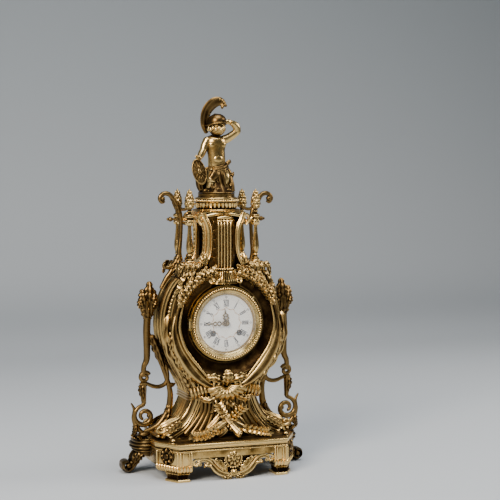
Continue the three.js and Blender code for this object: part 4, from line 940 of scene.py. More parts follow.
def case_loft(name, inset, rows, lines):
    """The case's body between two depths, with the given lines as its section."""
    front = [(0.0, lines[0][1]), (0.5, lines[0][1]), (1.0, lines[0][1])]
    half = [("part", part, y) for part, y in front] + [("line", s, y) for s, y in lines[1:]]
    ring = half + [(kind, s, -y) for kind, s, y in reversed(half)]
    count = 2 * (len(ring) - 1)

    def formula(u, v):
        step = round(v * (rows + 2))
        t = min(max((step - 1) / rows, 0), 1)
        x, z = along(OUTLINE, t)
        x -= inset
        z += CASE_LOW.z + (inset if t == 0 else 0) - (inset if t == 1 else 0)
        if step in (0, rows + 2):
            return 0, 0, z
        k = round(u * count) % count
        side = 1
        if k > len(ring) - 1:
            k = count - k
            side = -1
        kind, s, y = ring[k]
        reach = (x - lines[0][0]) * s if kind == "part" else x - s
        return side * reach, y, z

    return surface(name, count, rows + 2, formula)


def cut(piece, cutter):
    """Subtracts a closed cutter from a piece."""
    select_only(piece)
    hollow = piece.modifiers.new("cut", "BOOLEAN")
    hollow.object = cutter
    hollow.operation = "DIFFERENCE"
    hollow.solver = "EXACT"
    bpy.ops.object.modifier_apply(modifier=hollow.name)
    bpy.data.objects.remove(cutter)


def block(name, low, high):
    """A box between two corners, for cutting."""
    bpy.ops.object.select_all(action="DESELECT")
    bpy.ops.mesh.primitive_cube_add(size=1)
    piece = bpy.context.active_object
    piece.name = name
    low, high = at(*low), at(*high)
    for vertex in piece.data.vertices:
        vertex.co = Vector([(a + b) / 2 + c * (b - a) for a, b, c in zip(low, high, vertex.co)])
    return piece


def case_path(inset, y, low, high, count=12):
    """A line on the case that follows its outline at an inset, from one height to another."""
    heights = [low + (high - low) * i / (count - 1) for i in range(count)]
    return [(half_width(h) - inset, y, CASE_LOW.z + h) for h in heights]


class CLOCK_OT_case(bpy.types.Operator):
    """Waisted case with stepped side mouldings, pilasters, flutes and skirt scrolls"""

    bl_idname = "clock.case"
    bl_label = "Case"

    def execute(self, context):
        body = case_loft("case", 0, 60, SIDE_LINES)
        inner = case_loft("inner", 4, 40, [(9, -31.5), (8, -31.5), (8, -20), (8, 0)])
        cut(body, inner)
        cut(body, dished("bore", [(0, -40), (44, -40), (44, 40), (0, 40)], 64, count=1))
        cut(body, block("rear opening", (-30, 28, CASE_LOW.z + 8), (30, 40, DIAL_Z - 59)))
        weld(body, outwards=False)
        finish(body, MATERIALS["bronze"], "patinated_bronze", nodes=["case_body"], angle=32)
        finish(joined("case_ornament", both(self.side())), MATERIALS["bronze"], "patinated_bronze")
        finish(joined("waist_flutes", self.waist()), MATERIALS["dark"], "patinated_bronze")
        return {"FINISHED"}

    def side(self):
        """Pilasters, ribs and scrolls of the right-hand side."""
        parts = []
        for y, face in ((-29, (0.75, -0.66, 0)), (27, (0.9, 0.43, 0))):
            # fluted pilaster from the collar down to the skirt, and its upper half
            parts.append(swept("pilaster", case_path(8.5, y, 3, 50),
                single([13.5, 11.5, 10, 9.4, 9.2, 9.4]),
                               single([5.4, 5.2, 5.0, 5.0, 5.0, 5.2]), face, 30, 56,
                               ribs=(15, 0.085)))
            parts.append(swept("pilaster", case_path(7, y, 53, 84), single([8.4, 8.6, 8.8, 8.6]),
                               single([3.4, 3.2, 2.8, 1.5]), face, 16, 24, ribs=(8, 0.07)))
            for h, size in ((50.5, 8.4), (53.4, 7.2), (47.6, 7.4)):
                x = half_width(h) - 8
                ends = [(x + k * face[1] * 9, y - k * face[0] * 9, CASE_LOW.z + h) for k in (-1, 1)]
                parts.append(swept("collar", ends, single([1.5] * 2), single([size * 0.72] * 2),
                    face, 4, 10))
            x = half_width(62) - 5
            parts.append(leaf_on("leaf", [(x, y, CASE_LOW.z + 55), (x + 6, y, CASE_LOW.z + 68),
                (half_width(86) - 3, y, CASE_LOW.z + 85)],
                                 7.5, 3.6, face))
        # close ribs along the belly
        for y in (-20.5, -8, 4.5, 17):
            parts.append(swept("rib", case_path(0.4, y, 54, 208, 18), single([4.2] * 2),
                single([3.0] * 2), (1, 0, 0), 50, 12, groove=0.5))
        for h in (47.5, 51, 54.5):
            x = half_width(h) + 0.2
            parts.append(swept("collar", [(x, -30, CASE_LOW.z + h), (x, 30, CASE_LOW.z + h)],
                single([1.9] * 2), single([1.7] * 2), (1, 0, 0), 6, 8))
        for inset, y, radius in ((6.8, -34.6, 1.5), (1.6, -20.4, 1.3), (1.6, 20.4, 1.3),
            (6.8, 34.4, 1.5)):
            parts.append(swept("rib", case_path(inset, y, 58, 208, 18), single([radius] * 2),
                single([radius] * 2),
                               (0.7, -0.7, 0), 60, 8))
        husks = case_path(5.6, -27, 92, 196, 22)
        for i in range(0, 20):
            parts.append(leaf_on("husk", [husks[i + 1], husks[i]], 2.4, 2.2, (1, -0.4, 0),
                "small leaf"))
        # broad leaf that clasps the side of the belly, and scrolls where it ends
        for y in (-12, 0, 12):
            parts.append(leaf_on("leaf", case_path(-0.6, y, 70, 118, 5), 6.5, 3, (1, 0, -0.3)))
        parts.append(leaf_on("leaf", case_path(0.0, 0, 206, 150, 6), 10, 3, (1, 0, 0.3)))
        # ribbed flank that sweeps out to the skirt
        for y in (-14, -8.4, -2.8, 2.8, 8.4, 14):
            parts.append(swept("flute", case_path(1.4, y, 4, 48, 8), single([3.1, 2.9, 2.7, 2.6]),
                single([2.6] * 4),
                               (0.7, 0, 0.7), 20, 8))
        # skirt: rolled edge and scrolls at its front and rear corners
        for y in (-33, 33):
            curl = [(70, 14), (78, 8.5), (86, 6.5), (91, 8.2), (91.6, 12), (88, 14), (85.4, 11.4),
                (87.4, 10)]
            parts.append(bar("scroll", [(x, CASE_LOW.z + z) for x, z in curl],
                [1.6, 2.4, 2.6, 2.4, 2.1, 1.8, 1.5, 1.1], y * 0.93, 1.1, 36, 10))
            parts.append(leaf_on("leaf", [(60, y * 1.06, CASE_LOW.z + 20),
                (72, y * 1.08, CASE_LOW.z + 12), (82, y * 1.06, CASE_LOW.z + 7)], 5.5, 2.6,
                                 (0.3, math.copysign(1, y), 0.5)))
        parts.append(swept("skirt roll", [(90, -35, CASE_LOW.z + 2.4), (92, 0, CASE_LOW.z + 2.4),
            (90, 35, CASE_LOW.z + 2.4)],
                           single([2.4] * 3), single([2.4] * 3), (1, 0, 0), 12, 10))
        return parts

    def waist(self):
        """Upright flutes of the front and rear between the pilasters."""
        parts = []
        for i in range(-6, 7):
            path = [(i * 9.4, -36.6, CASE_LOW.z + 2), (i * 7.4, -36.6, CASE_LOW.z + 16),
                (i * 5.7, -36.2, CASE_LOW.z + 32), (i * 5.4, -36, CASE_LOW.z + 50)]
            parts.append(swept("flute", path, single([4.4, 3.5, 2.7, 2.5]),
                single([3.2, 3.0, 2.6, 2.4]), (0, -1, 0.2), 16, 10))
        for side in (-1, 1):
            parts.append(swept("rear edge", [(side * 32, 35, CASE_LOW.z + 8),
                (side * 32, 35, CASE_LOW.z + 85)], single([1.4] * 2), single([1.4] * 2),
                               (0, 1, 0), 8, 8))
        return parts


class CLOCK_OT_surround(bpy.types.Operator):
    """Concave frame round the bezel, with garlands above and broad leaf lips below"""

    bl_idname = "clock.surround"
    bl_label = "Dial surround"

    def execute(self, context):
        cup = dished("surround_cup", [(52, -36.1), (52, -37.6), (56, -38.2), (60, -39.0), (64, -41),
            (67.5, -44.2), (69.4, -45.6),
                                      (71.2, -45.2), (72, -43.2), (72, -36.1), (52, -36.1)], 96,
                                      True)
        cut(cup, block("vase gap", (-20, -60, DIAL_Z + 46), (20, -30, CASE_TOP + 20)))
        finish(cup, MATERIALS["dark"], "gilt_bronze", nodes=["dial_surround"])
        parts = []

        def spot(radius, degrees, y):
            a = math.radians(degrees)
            return radius * math.cos(a), y, DIAL_Z + radius * math.sin(a)

        # broad leaf lips from the sides down to the mask
        lip = [spot(70, 15, -41), spot(72, -5, -42), spot(73, -22, -42.5), spot(74, -38, -43),
            spot(78, -55, -43.5), spot(83, -70, -43), spot(85, -78, -41)]
        parts.append(swept("lip", lip, single([2.4, 5, 7.2, 8, 7.4, 5, 2.5]),
            single([3, 4.4, 5.4, 6, 5.6, 4, 2.5]), (0, -1, 0), 44, 18, groove=0.5))
        rim = [spot(66.4, 25, -45.4), spot(65.6, 0, -46), spot(65.2, -22, -46.6),
            spot(65.6, -40, -47), spot(69.4, -58, -47), spot(78, -72, -46)]
        parts.append(swept("rim", rim, single([1.2, 1.8, 2.0, 2.0, 1.8, 1]), single([1.6] * 6),
            (0, -1, 0), 40, 10))
        outer = [spot(80, 10, -38), spot(82, -10, -39), spot(82.5, -28, -39), spot(84, -45, -39),
            spot(88, -62, -38.5)]
        parts.append(leaf_on("outer leaf", outer, 7.5, 4.4))
        for start, end, reach in ((-6, -30, 79), (-24, -48, 81), (-42, -64, 84)):
            parts.append(leaf_on("leaf", [spot(reach - 4, start, -41),
                spot(reach, (start + end) / 2, -43.5), spot(reach + 3, end, -38)], 5.5, 3.6))
        # garland of leaves and buds over each shoulder
        for i in range(11):
            degrees = 22 + i * 4.9
            inner, tip = 66 + (i % 2) * 2, 76 + (i % 3) * 2.4
            parts.append(leaf_on("leaf", [spot(inner, degrees - 3, -42.5),
                spot((inner + tip) / 2, degrees + 2, -47.5), spot(tip, degrees + 9, -43)],
                                 4.6, 3.4))
            parts.append(leaf_on("leaf", [spot(72, degrees, -43.5), spot(68, degrees + 5, -47.2),
                spot(62.5, degrees + 9, -43.5)], 3.4, 2.8))
            if i % 2:
                parts += [bead_at("berry", spot(70.5 + dr, degrees + da, -47.6), 1.7) for dr,
                    da in ((0, 0), (3, 1.6), (-2.6, 1.8))]
        # acanthus that falls over the shoulder from the tower
        for x, z, dx, dz, width in ((44, 270, 8, -26, 6.5), (52, 268, 14, -22, 5.5),
            (36, 268, 3, -22, 5.5), (58, 258, 12, -22, 5), (47, 262, 14, -34, 6)):
            parts.append(leaf_on("leaf", [(x - 3, -36, z + 4), (x + dx * 0.5, -41.5, z + dz * 0.45),
                (x + dx, -37.5, z + dz)], width, 4))
        finish(joined("surround_leaves", both(parts)), MATERIALS["bronze"], "gilt_bronze")
        return {"FINISHED"}


class CLOCK_OT_waist_mask(bpy.types.Operator):
    """Shell, acanthus and gadroons between the dial frame and the waist"""

    bl_idname = "clock.waist_mask"
    bl_label = "Waist mask"

    def execute(self, context):
        z = (box_mm("waist_mask")[0].z + box_mm("waist_mask")[1].z) / 2
        parts = []
        for i in range(-4, 5):
            a = math.radians(-90 + i * 19)
            path = [(4 * math.cos(a), -40, z + 17 + 4 * math.sin(a)),
                (12 * math.cos(a) * 1.3, -46.2, z + 16 + 11 * math.sin(a)),
                    (20 * math.cos(a) * 1.35, -40.5, z + 15 + 19 * math.sin(a))]
            parts.append(swept("lobe", path, single([1.6, 3.4, 4.0]), single([1.8, 3.0, 2.6]),
                (0, -1, 0.2), 12, 10))
        side = [
            bar("scroll", spiral(14, z + 19, 6.4, 1.2, math.radians(200), 1.35, 16),
                [1.8, 2, 2, 1.8, 1.6, 1.3, 1.1], -43.5, 1.3, 36, 8),
            leaf_on("leaf", [(6, -43, z + 22), (20, -47, z + 28), (36, -41, z + 26)], 6, 3.6),
            leaf_on("leaf", [(12, -42, z + 4), (26, -44, z - 2), (38, -39, z + 2)], 5, 3.2),
            leaf_on("leaf", [(4, -42, z - 4), (12, -43, z - 14), (22, -39, z - 20)], 4.6, 3),
        ]
        for i in range(5):
            x = 29 + i * 4.6
            side.append(swept("gadroon", [(x, -36, z + 18 - i), (x - 0.8, -39.6, z + 10 - i),
                (x - 2.6, -36, z + 2 - i)], single([1.8, 2.3, 1.4]),
                              single([1.8, 2.3, 1.6]), (0.2, -1, 0), 10, 8))
        parts += both(side)
        parts.append(leaf_on("leaf", [(0, -41, z + 16), (0, -48.5, z + 28), (0, -46.5, z + 38)], 8,
            3.4))
        parts.append(leaf_on("leaf", [(0, -40, z + 6), (0, -43, z - 8), (0, -39, z - 20)], 6, 3.2))
        finish(joined("waist_shell", parts), MATERIALS["bronze"], "gilt_bronze",
            nodes=["waist_mask"])
        return {"FINISHED"}


class CLOCK_OT_trophy(bpy.types.Operator):
    """Laurel sprays, a quiver and a draped cloth laid on the base"""

    bl_idname = "clock.trophy"
    bl_label = "Trophy"

    def execute(self, context):
        top = BASE_TOP + 3.4
        parts = []

        def branch(path, count, size, spread=0.9):
            """A twig with leaves in pairs and a leaf at its tip."""
            made = [swept("twig", path, single([1.1, 0.9, 0.6]), single([1.1, 0.9, 0.6]),
                (0, -0.7, 0.7), 20, 6)]
            for i in range(count):
                t = (i + 0.6) / count
                here, side, lift = frame_at(path, t, (0, -0.75, 0.65))
                ahead = Vector(along(path, min(t + 0.02, 1))) - here
                if ahead.length < 1e-6:
                    continue
                ahead.normalize()
                for hand in (-1, 1):
                    tip = here + (ahead + side * hand * spread).normalized() * size + lift * 2.6
                    bend = (here + tip) / 2 + lift * 1.8
                    made.append(leaf_on("leaf", [tuple(here), tuple(bend), tuple(tip)], size * 0.2,
                        1.8, tuple(lift), "small leaf"))
            end = Vector(path[-1])
            before = Vector(path[-2])
            out = (end - before).normalized()
            made.append(leaf_on("leaf", [tuple(end - out * 2), tuple(end + out * size)], size * 0.2,
                1.8, (0, -0.7, 0.7), "small leaf"))
            return made

        parts += branch([(-6, -52, top + 12), (-22, -56, top + 8), (-36, -59, top + 4),
            (-48, -60, top + 3)], 8, 11)
        parts += branch([(6, -52, top + 12), (24, -54, top + 8), (40, -55, top + 4),
            (50, -57, top + 3)], 8, 11)
        parts += branch([(0, -48, top + 16), (-7, -48, top + 28), (-12, -46, top + 38)], 5, 11)
        parts += branch([(2, -48, top + 16), (10, -48, top + 27), (20, -46, top + 34)], 5, 10)
        # quiver that slants down towards the front edge
        quiver = [(-9, -46, top + 33), (-4, -50, top + 24), (3, -56, top + 14), (9, -63, top + 6),
            (12.6, -66, top + 3.6)]
        parts.append(swept("quiver", quiver, single([2.4, 2.9, 3.8, 5.0, 3.4]),
            single([2.4, 2.9, 3.8, 4.6, 2.6]), (0, -0.7, 0.7), 30, 20, ribs=(10, 0.05)))
        for t in (0.18, 0.42, 0.86):
            here, side, lift = frame_at(quiver, t, (0, -0.7, 0.7))
            ahead = cross(lift, side).normalized()
            size = along(single([2.4, 2.9, 3.8, 5.0, 3.4]), t)[0] + 0.9

            def band(u, v, here=here, side=side, lift=lift, ahead=ahead, size=size):
                a, b = 2 * math.pi * u, 2 * math.pi * v
                return here + (side * math.cos(a) + lift * math.sin(a)) * (size + 0.7 * math.cos(b)) + ahead * 0.9 * math.sin(b)

            parts.append(surface("band", 20, 8, band))
        for x, z in ((-14, 36), (-9, 40), (-4, 38)):
            parts.append(swept("arrow", [(x, -45, top + z), (x * 0.4, -48, top + 24)],
                single([0.7, 0.7]), single([0.7, 0.7]), (0, -1, 0), 6, 6))
            parts.append(leaf_on("fletching", [(x * 0.8, -46, top + z - 6),
                (x * 1.05, -45, top + z + 3)], 2, 1.2, (0, -1, 0), "small leaf"))
        # cloth gathered over the mound
        cloth = [
            ([(-30, -46, top + 2), (-20, -51, top + 9), (-8, -52, top + 17), (2, -50, top + 22)],
                [5, 6, 5, 2.5]),
            ([(30, -46, top + 2), (21, -51, top + 9), (10, -52, top + 16), (2, -50, top + 22)],
                [5, 6, 5, 2.5]),
            ([(-18, -47, top + 1), (-12, -53, top + 6), (-4, -55, top + 12)], [4, 5, 3]),
            ([(20, -47, top + 1), (14, -53, top + 6), (6, -55, top + 12)], [4, 5, 3]),
            ([(0, -46, top + 8), (-3, -49, top + 20), (-6, -47, top + 32)], [8, 7, 4]),
            ([(-26, -44, top + 10), (-16, -46, top + 20), (-8, -46, top + 30)], [4, 4.6, 3]),
            ([(26, -44, top + 10), (18, -46, top + 19), (10, -46, top + 28)], [4, 4.6, 3]),
        ]
        for path, sizes in cloth:
            parts.append(swept("fold", path, single(sizes), single([s * 0.6 for s in sizes]),
                (0, -0.8, 0.6), 20, 20, ribs=(5, 0.1)))
        for x in (-42, 42):
            parts.append(leaf_on("leaf", [(x * 0.7, -44, top + 4), (x, -48, top + 6),
                (x * 1.3, -50, top + 1)], 6, 3, (0, -0.6, 0.8)))
        parts += [bead_at("berry", (x, y, top + z), 1.6) for x, y, z in
                  ((-3, -57, 14), (0, -58, 11), (-6, -56, 11), (18, -57, 9), (-20, -58, 9),
                      (-17, -59, 7))]
        finish(joined("laurel_trophy", parts), MATERIALS["bronze"], "patinated_bronze",
            nodes=["trophy_mount"])
        return {"FINISHED"}


# ---- Side brackets and handles ------------------------------------------------------------------


class CLOCK_OT_brackets(bpy.types.Operator):
    """Open scrolled bracket at each side of the case"""

    bl_idname = "clock.brackets"
    bl_label = "Side brackets"

    def execute(self, context):
        low = box_mm("right_side_bracket")[0].z
        foot, clear = HALF_WIDTH + 6, 89.0
        belly = DIAL_Z
        parts = [
            bar("stem", [(clear + 7, belly + 8), (clear + 8, belly - 12), (clear + 8, belly - 46),
                (foot, low + 94), (foot + 1, low + 80)],
                [5.0, 5.0, 4.4, 3.6, 3.4], 0, 0.9, 40, 12),
            bar("lower stem", [(foot + 1, low + 74), (foot + 1, low + 60), (foot, low + 43)],
                [5.0, 4.2, 2.8], 0, 0.9, 16, 12, ribs=(6, 0.08)),
            bar("ring", spiral(foot, low + 28, 15, 3.4, math.pi / 2, -1.45, 22),
                [2.6, 3.0, 3.4, 3.6, 3.6, 3.5, 3.3, 3.0, 2.7, 2.4, 2.1], 0, 1.0, 70, 10),
            bar("horn", [(foot + 18, low + 47), (foot + 13.5, low + 38), (foot + 14, low + 26),
                (foot + 10, low + 14), (foot + 2, low + 6)],
                [0.9, 2.2, 3.2, 3.4, 2.8], 0, 1.0, 30, 10),
            bar("inner stem", [(clear - 1, belly - 22), (clear - 6, belly - 40),
                (clear - 14, belly - 60), (clear - 22, belly - 84),
                               (clear - 24, low + 52), (clear - 21, low + 34),
                               (clear - 10, low + 17), (clear + 2, low + 10), (foot + 1, low + 7)],
                [4.6, 3.6, 3.2, 3.4, 4.2, 4.8, 5.0, 4.0, 2.8], 0, 0.85, 60, 12),
            bar("spur", [(clear - 12, low + 20), (clear - 22, low + 12), (clear - 30, low + 5)],
                [3, 2.2, 0.8], 0, 0.8, 16, 8),
            bar("link", [(clear + 8, belly - 8), (clear + 4, belly - 18), (clear - 2, belly - 24)],
                [3, 3, 3], 0, 1, 12, 8),
            # curl that ties the two stems half way up
            bar("curl", spiral(foot - 1, low + 80, 7.5, 1.8, math.radians(160), -1.3, 14),
                [2.6, 2.8, 2.8, 2.5, 2.1], 0, 1.1, 40, 8),
            bar("tie", [(foot + 5, low + 76), (clear - 2, low + 67), (clear - 14, low + 68),
                (clear - 20, low + 76), (clear - 19, low + 90), (clear - 14, low + 104)],
                [2.0, 2.8, 3.0, 2.9, 2.6, 2.0], 0, 1.0, 40, 8),
            bar("bud", [(clear - 20, low + 68), (clear - 27, low + 68), (clear - 31, low + 70)],
                [2.4, 3.2, 0.8], 0, 1.2, 10, 8),
            # torch head with flames of leaf
            bar("torch", [(clear + 6, belly + 6), (clear + 7, belly + 18), (clear + 7, belly + 30)],
                [4.6, 8.8, 8.4], 0, 0.7, 18, 18, ribs=(9, 0.12)),
        ]
        for x, z, dx, dz, width in ((6, 20, -2, 35, 7.4), (10, 20, 4, 25, 6.4),
            (3, 20, -5, 24, 6.4), (12, 18, 5, 15, 5.4), (2, 18, -6, 14, 5.4), (7, 4, 0, 28, 8.4)):
            parts.append(leaf_on("leaf", [(clear + x, -1.5, belly + z),
                (clear + x + dx * 0.7, -4, belly + z + dz * 0.5),
                (clear + x + dx, -1, belly + z + dz)],
                                 width, 2.6))
            parts.append(leaf_on("leaf", [(clear + x, 1.5, belly + z),
                (clear + x + dx * 0.7, 4, belly + z + dz * 0.5),
                (clear + x + dx, 1, belly + z + dz)],
                                 width, 2.6, (0, 1, 0)))
        for y in (-1, 1):
            face = (0, y, 0)
            parts.append(leaf_on("leaf", [(clear + 2, y * 2, belly - 16),
                (clear - 6, y * 4.4, belly - 36), (clear - 16, y * 1.5, belly - 62)], 6.4, 3, face))
            parts.append(leaf_on("leaf", [(clear - 22, y * 2, low + 42),
                (clear - 19, y * 4, low + 26), (clear - 6, y * 2, low + 12)], 5, 2.6, face))
            parts.append(leaf_on("leaf", [(foot + 2, y * 2, low + 72),
                (foot + 3, y * 3.6, low + 62), (foot, y * 2, low + 48)], 4.6, 2, face))
            parts.append(leaf_on("leaf", [(clear - 8, y * 2, low + 18),
                (clear - 20, y * 3, low + 10), (clear - 28, y, low + 3)], 4.6, 2, face))
            parts.append(leaf_on("leaf", [(foot + 12, y * 2, low + 20),
                (foot + 12, y * 3.4, low + 10), (foot + 16, y, low + 3)], 4, 2, face))
        parts += [bead_at("boss", (foot - 6.5, 0, low + 28.5), 3, "ball"),
            bead_at("knob", (foot + 1, 0, low + 44), 3, "ball"),
                  bead_at("knob", (clear + 8, 0, belly - 48), 3.2, "ball", (1, 1, 0.6)),
                  bead_at("knob", (foot, 0, low + 95), 3, "ball", (1, 1, 0.6)),
                  bead_at("knob", (foot, 0, low + 4.4), 5.4, "ball", (1.5, 1.1, 0.75))]
        right = joined("right_bracket", parts)
        left = twin(right, "left_bracket")
        finish(right, MATERIALS["dark"], "dark_bronze", nodes=["right_side_bracket"])
        finish(left, MATERIALS["dark"], "dark_bronze", nodes=["left_side_bracket"])
        return {"FINISHED"}


class CLOCK_OT_handles(bpy.types.Operator):
    """S-shaped handle between the shoulder and the head of the tower, at each side"""

    bl_idname = "clock.handles"
    bl_label = "S handles"

    def execute(self, context):
        neck = TOWER_LOW.z + 66
        top = CASE_TOP
        parts = [
            bar("stem", [(50, top + 12), (52, top + 24), (50, top + 44), (49.5, neck),
                (52, neck + 13), (58, neck + 26), (66, neck + 35),
                         (74, neck + 35.4), (78.6, neck + 30), (76, neck + 24.6),
                         (71.6, neck + 26.4)],
                [3.6, 3.4, 2.6, 2.8, 3.2, 3.2, 3.2, 3.0, 2.7, 2.4, 2.2], 0, 1.0, 64, 12),
            bar("cross piece", [(55, neck + 21), (48, neck + 15), (40, neck + 16), (34, neck + 20)],
                [1.6, 2.2, 2, 1.2], 0, 1, 20, 8),
            bar("spur", [(62, neck + 2), (55, neck + 1), (44, neck - 4), (38, neck - 4)],
                [1.4, 2, 2, 1.2], 0, 1, 16, 8),
            bar("curl", [(52, top + 22), (57, top + 11), (65, top + 5), (71, top + 4.4),
                (73.6, top + 8), (71, top + 10)],
                [2.8, 3.0, 2.6, 2.2, 1.9, 1.4], 0, 1, 30, 10),
            bar("brace", [(58, top + 10), (64, top - 2), (70, top - 10), (78, top - 24)],
                [2.2, 3.4, 3.2, 2.4], 0, 1.1, 24, 12),
            bead_at("knob", (64, 0, neck + 2), 3.2, "ball"),
            bead_at("knob", (67.4, 0, neck + 2), 1.8, "ball"),
            bead_at("eye", (74.6, 0, neck + 29), 3.4, "ball", (1, 1.15, 1)),
            bead_at("knob", (56, 0, neck + 16), 2.4, "ball"),
        ]
        for y in (-1, 1):
            face = (0, y, 0)
            parts.append(leaf_on("leaf", [(50, y * 1.5, top + 20), (58, y * 3, top + 6),
                (66, y * 1.5, top - 8)], 4.2, 2, face))
            parts.append(leaf_on("leaf", [(52, y * 2, neck + 6), (55, y * 2.6, neck + 18),
                (64, y * 1.5, neck + 32)], 3.6, 1.6, face))
        right = joined("right_handle", parts)
        left = twin(right, "left_handle")
        finish(right, MATERIALS["dark"], "dark_bronze", nodes=["right_s_handle"])
        finish(left, MATERIALS["dark"], "dark_bronze", nodes=["left_s_handle"])
        return {"FINISHED"}


# ---- Tower ------------------------------------------------------------------------------------

TOWER_HALF = [(35, 0), (31, 8), (25, 22), (23, 40), (24, 58), (29, 70), (31, 77.9)]


def tower_line(inset, y, low=0.0, high=1.0, count=9):
    """A line up the right-hand side of the tower, which has a concave outline."""
    points = [along(TOWER_HALF, low + (high - low) * i / (count - 1)) for i in range(count)]
    return [(x - inset, y, TOWER_LOW.z + z) for x, z in points]


class CLOCK_OT_tower(bpy.types.Operator):
    """Open four-sided tower with arched windows, bands, husks and the trellis"""

    bl_idname = "clock.tower"
    bl_label = "Tower"

    def execute(self, context):
        def shell(inset, depth, low, high):
            def formula(u, v):
                step = round(v * 42)
                t = min(max((step - 1) / 40, 0), 1)
                x, z = along(TOWER_HALF, t)
                z = min(max(z, low), high) + TOWER_LOW.z
                if step in (0, 42):
                    return 0, 0, z
                corner = [(1, -1), (1, 1), (-1, 1), (-1, -1)][round(u * 4) % 4]
                return corner[0] * (x - inset), corner[1] * depth, z

            return surface("shell", 4, 42, formula)

        body = shell(0, 30, 0, 77.9)
        cut(body, shell(4, 26, -1, 74))

        def window(low, high):
            def formula(u, v):
                step = round(v * 22)
                t = min(max((step - 1) / 20, 0), 1)
                x, z = along(TOWER_HALF, 0.06 + 0.9 * t)
                if step in (0, 22):
                    return 0, (low + high) / 2, TOWER_LOW.z + z
                corner = [(1, low), (1, high), (-1, high), (-1, low)][round(u * 4) % 4]
                return corner[0] * (x - 5.6), corner[1], TOWER_LOW.z + z

            return surface("window", 4, 22, formula)

        cut(body, window(-34, -22))

        def side_window(u, v):
            angle = 2 * math.pi * u
            step = round(v * 3)
            scale = 0 if step in (0, 3) else 1
            return (-60, -60, 60,
                60)[step], 15 * math.cos(angle) * scale, TOWER_LOW.z + 40 + 26 * math.sin(angle) * scale

        cut(body, surface("side window", 36, 3, side_window))
        weld(body, outwards=False)
        parts = []
        for face_y, sign in ((-30, -1), (30, 1)):
            face = (0, sign, 0)
            # broad bright band that follows the outline, with a fine fillet inside it
            parts.append(swept("band", tower_line(2.6, face_y, 0.02, 0.99, 12),
                single([2.9, 2.6, 2.5, 3.0]), single([2.4] * 4), face, 40, 12))
            parts.append(swept("fillet", tower_line(6.2, face_y + sign, 0.06, 0.95, 12),
                single([0.8] * 2), single([1.2] * 2), face, 36, 8))
            parts.append(swept("arch", [(24, face_y, TOWER_LOW.z + 72.5),
                (12, face_y, TOWER_LOW.z + 74.6), (0, face_y, TOWER_LOW.z + 75)],
                               single([1.9, 2.2, 2.2]), single([2.0] * 3), face, 16, 10))
        # stepped bands and husks down the side faces
        for y in (-24, -17, 17, 24):
            parts.append(swept("rib", tower_line(-0.3, y, 0.04, 0.96, 12), single([1.5] * 2),
                single([1.2] * 2), (1, 0, 0), 30, 8))
        for y in (-20.6, 20.6):
            chain = tower_line(-0.6, y, 0.08, 0.9, 16)
            for i in range(15):
                parts.append(leaf_on("husk", [chain[i + 1], chain[i]], 2.6, 2.2, (1, 0, 0),
                    "small leaf"))
        # leaf at the foot of each corner and bracket arms out to the balusters
        for y in (-31, 31):
            sign = math.copysign(1, y)
            parts.append(leaf_on("leaf", [(26, y, TOWER_LOW.z + 24),
                (30, y + sign * 3.5, TOWER_LOW.z + 11), (35, y + sign, TOWER_LOW.z + 1)], 5.5, 3,
                (0.3, sign, 0)))
            arm = [(24, y * 0.87, TOWER_LOW.z + 70), (31, y * 0.87, TOWER_LOW.z + 66),
                (38, y * 0.87, TOWER_LOW.z + 67), (41.5, y * 0.87, TOWER_LOW.z + 70)]
            parts.append(swept("arm", arm, single([2.6, 2.2, 2.2, 3]), single([2.4] * 4),
                (0, sign, 0), 16, 10))
            parts.append(swept("volute", [(31, y, TOWER_LOW.z + 60), (35, y, TOWER_LOW.z + 68),
                (33, y, TOWER_LOW.z + 74), (28.6, y, TOWER_LOW.z + 73),
                                          (29.5, y, TOWER_LOW.z + 69.5)],
                                          single([1.3, 2, 2.2, 1.8, 1.3]), single([1.8] * 5),
                                          (0, sign, 0), 26, 8))
        whole = joined("tower", [body] + both(parts))
        finish(whole, MATERIALS["gilt"], "gilt_bronze", nodes=["tower_frame"], angle=30)
        self.trellis()
        return {"FINISHED"}

    def trellis(self):
        """Pierced trellis with small flowers where its strips cross."""
        low, high = box_mm("front_lattice")
        y = (low.y + high.y) / 2 - MIDDLE_Y
        parts = [block("back", (-17, y + 4, low.z - 3), (17, y + 5.2, high.z + 3))]
        wide, tall = high.x, high.z - low.z
        for x in (-wide + 1, wide - 1):
            parts.append(bar("rim", [(x, low.z), (x, high.z)], [1.0, 1.0], y, 0.8, 2, 6))
        for z in (low.z + 1, high.z - 1):
            parts.append(bar("rim", [(-wide, z), (wide, z)], [1.0, 1.0], y, 0.8, 2, 6))
        pitch = 2 * wide / 3
        rows = int(tall / pitch) + 4
        for i in range(-3, rows):
            start = low.z + i * pitch
            for sign in (-1, 1):
                ends = []
                for x in (-wide, wide):
                    ends.append([x, start + (x * sign + wide)])
                clipped = self.clip(ends, low.z + 1, high.z - 1)
                if clipped:
                    parts.append(bar("strip", clipped, [0.8, 0.8], y + 0.3 * sign, 0.6, 6, 6))
        for i in range(rows):
            for k in range(-1, 2):
                z = low.z + pitch * (i + (0.5 if k % 2 else 0)) + 3
                if low.z + 2 < z < high.z - 2:
                    parts.append(bead_at("flower", (k * pitch, y - 0.8, z), 1.5))
        for x in (-wide + 2, wide - 2):
            parts.append(bar("border", [(x - math.copysign(0.4, x), low.z),
                (x - math.copysign(0.4, x), high.z)], [0.9, 0.9], y - 0.4, 1, 2, 6))
        finish(joined("trellis", parts), MATERIALS["dark"], "dark_bronze", nodes=["front_lattice"])

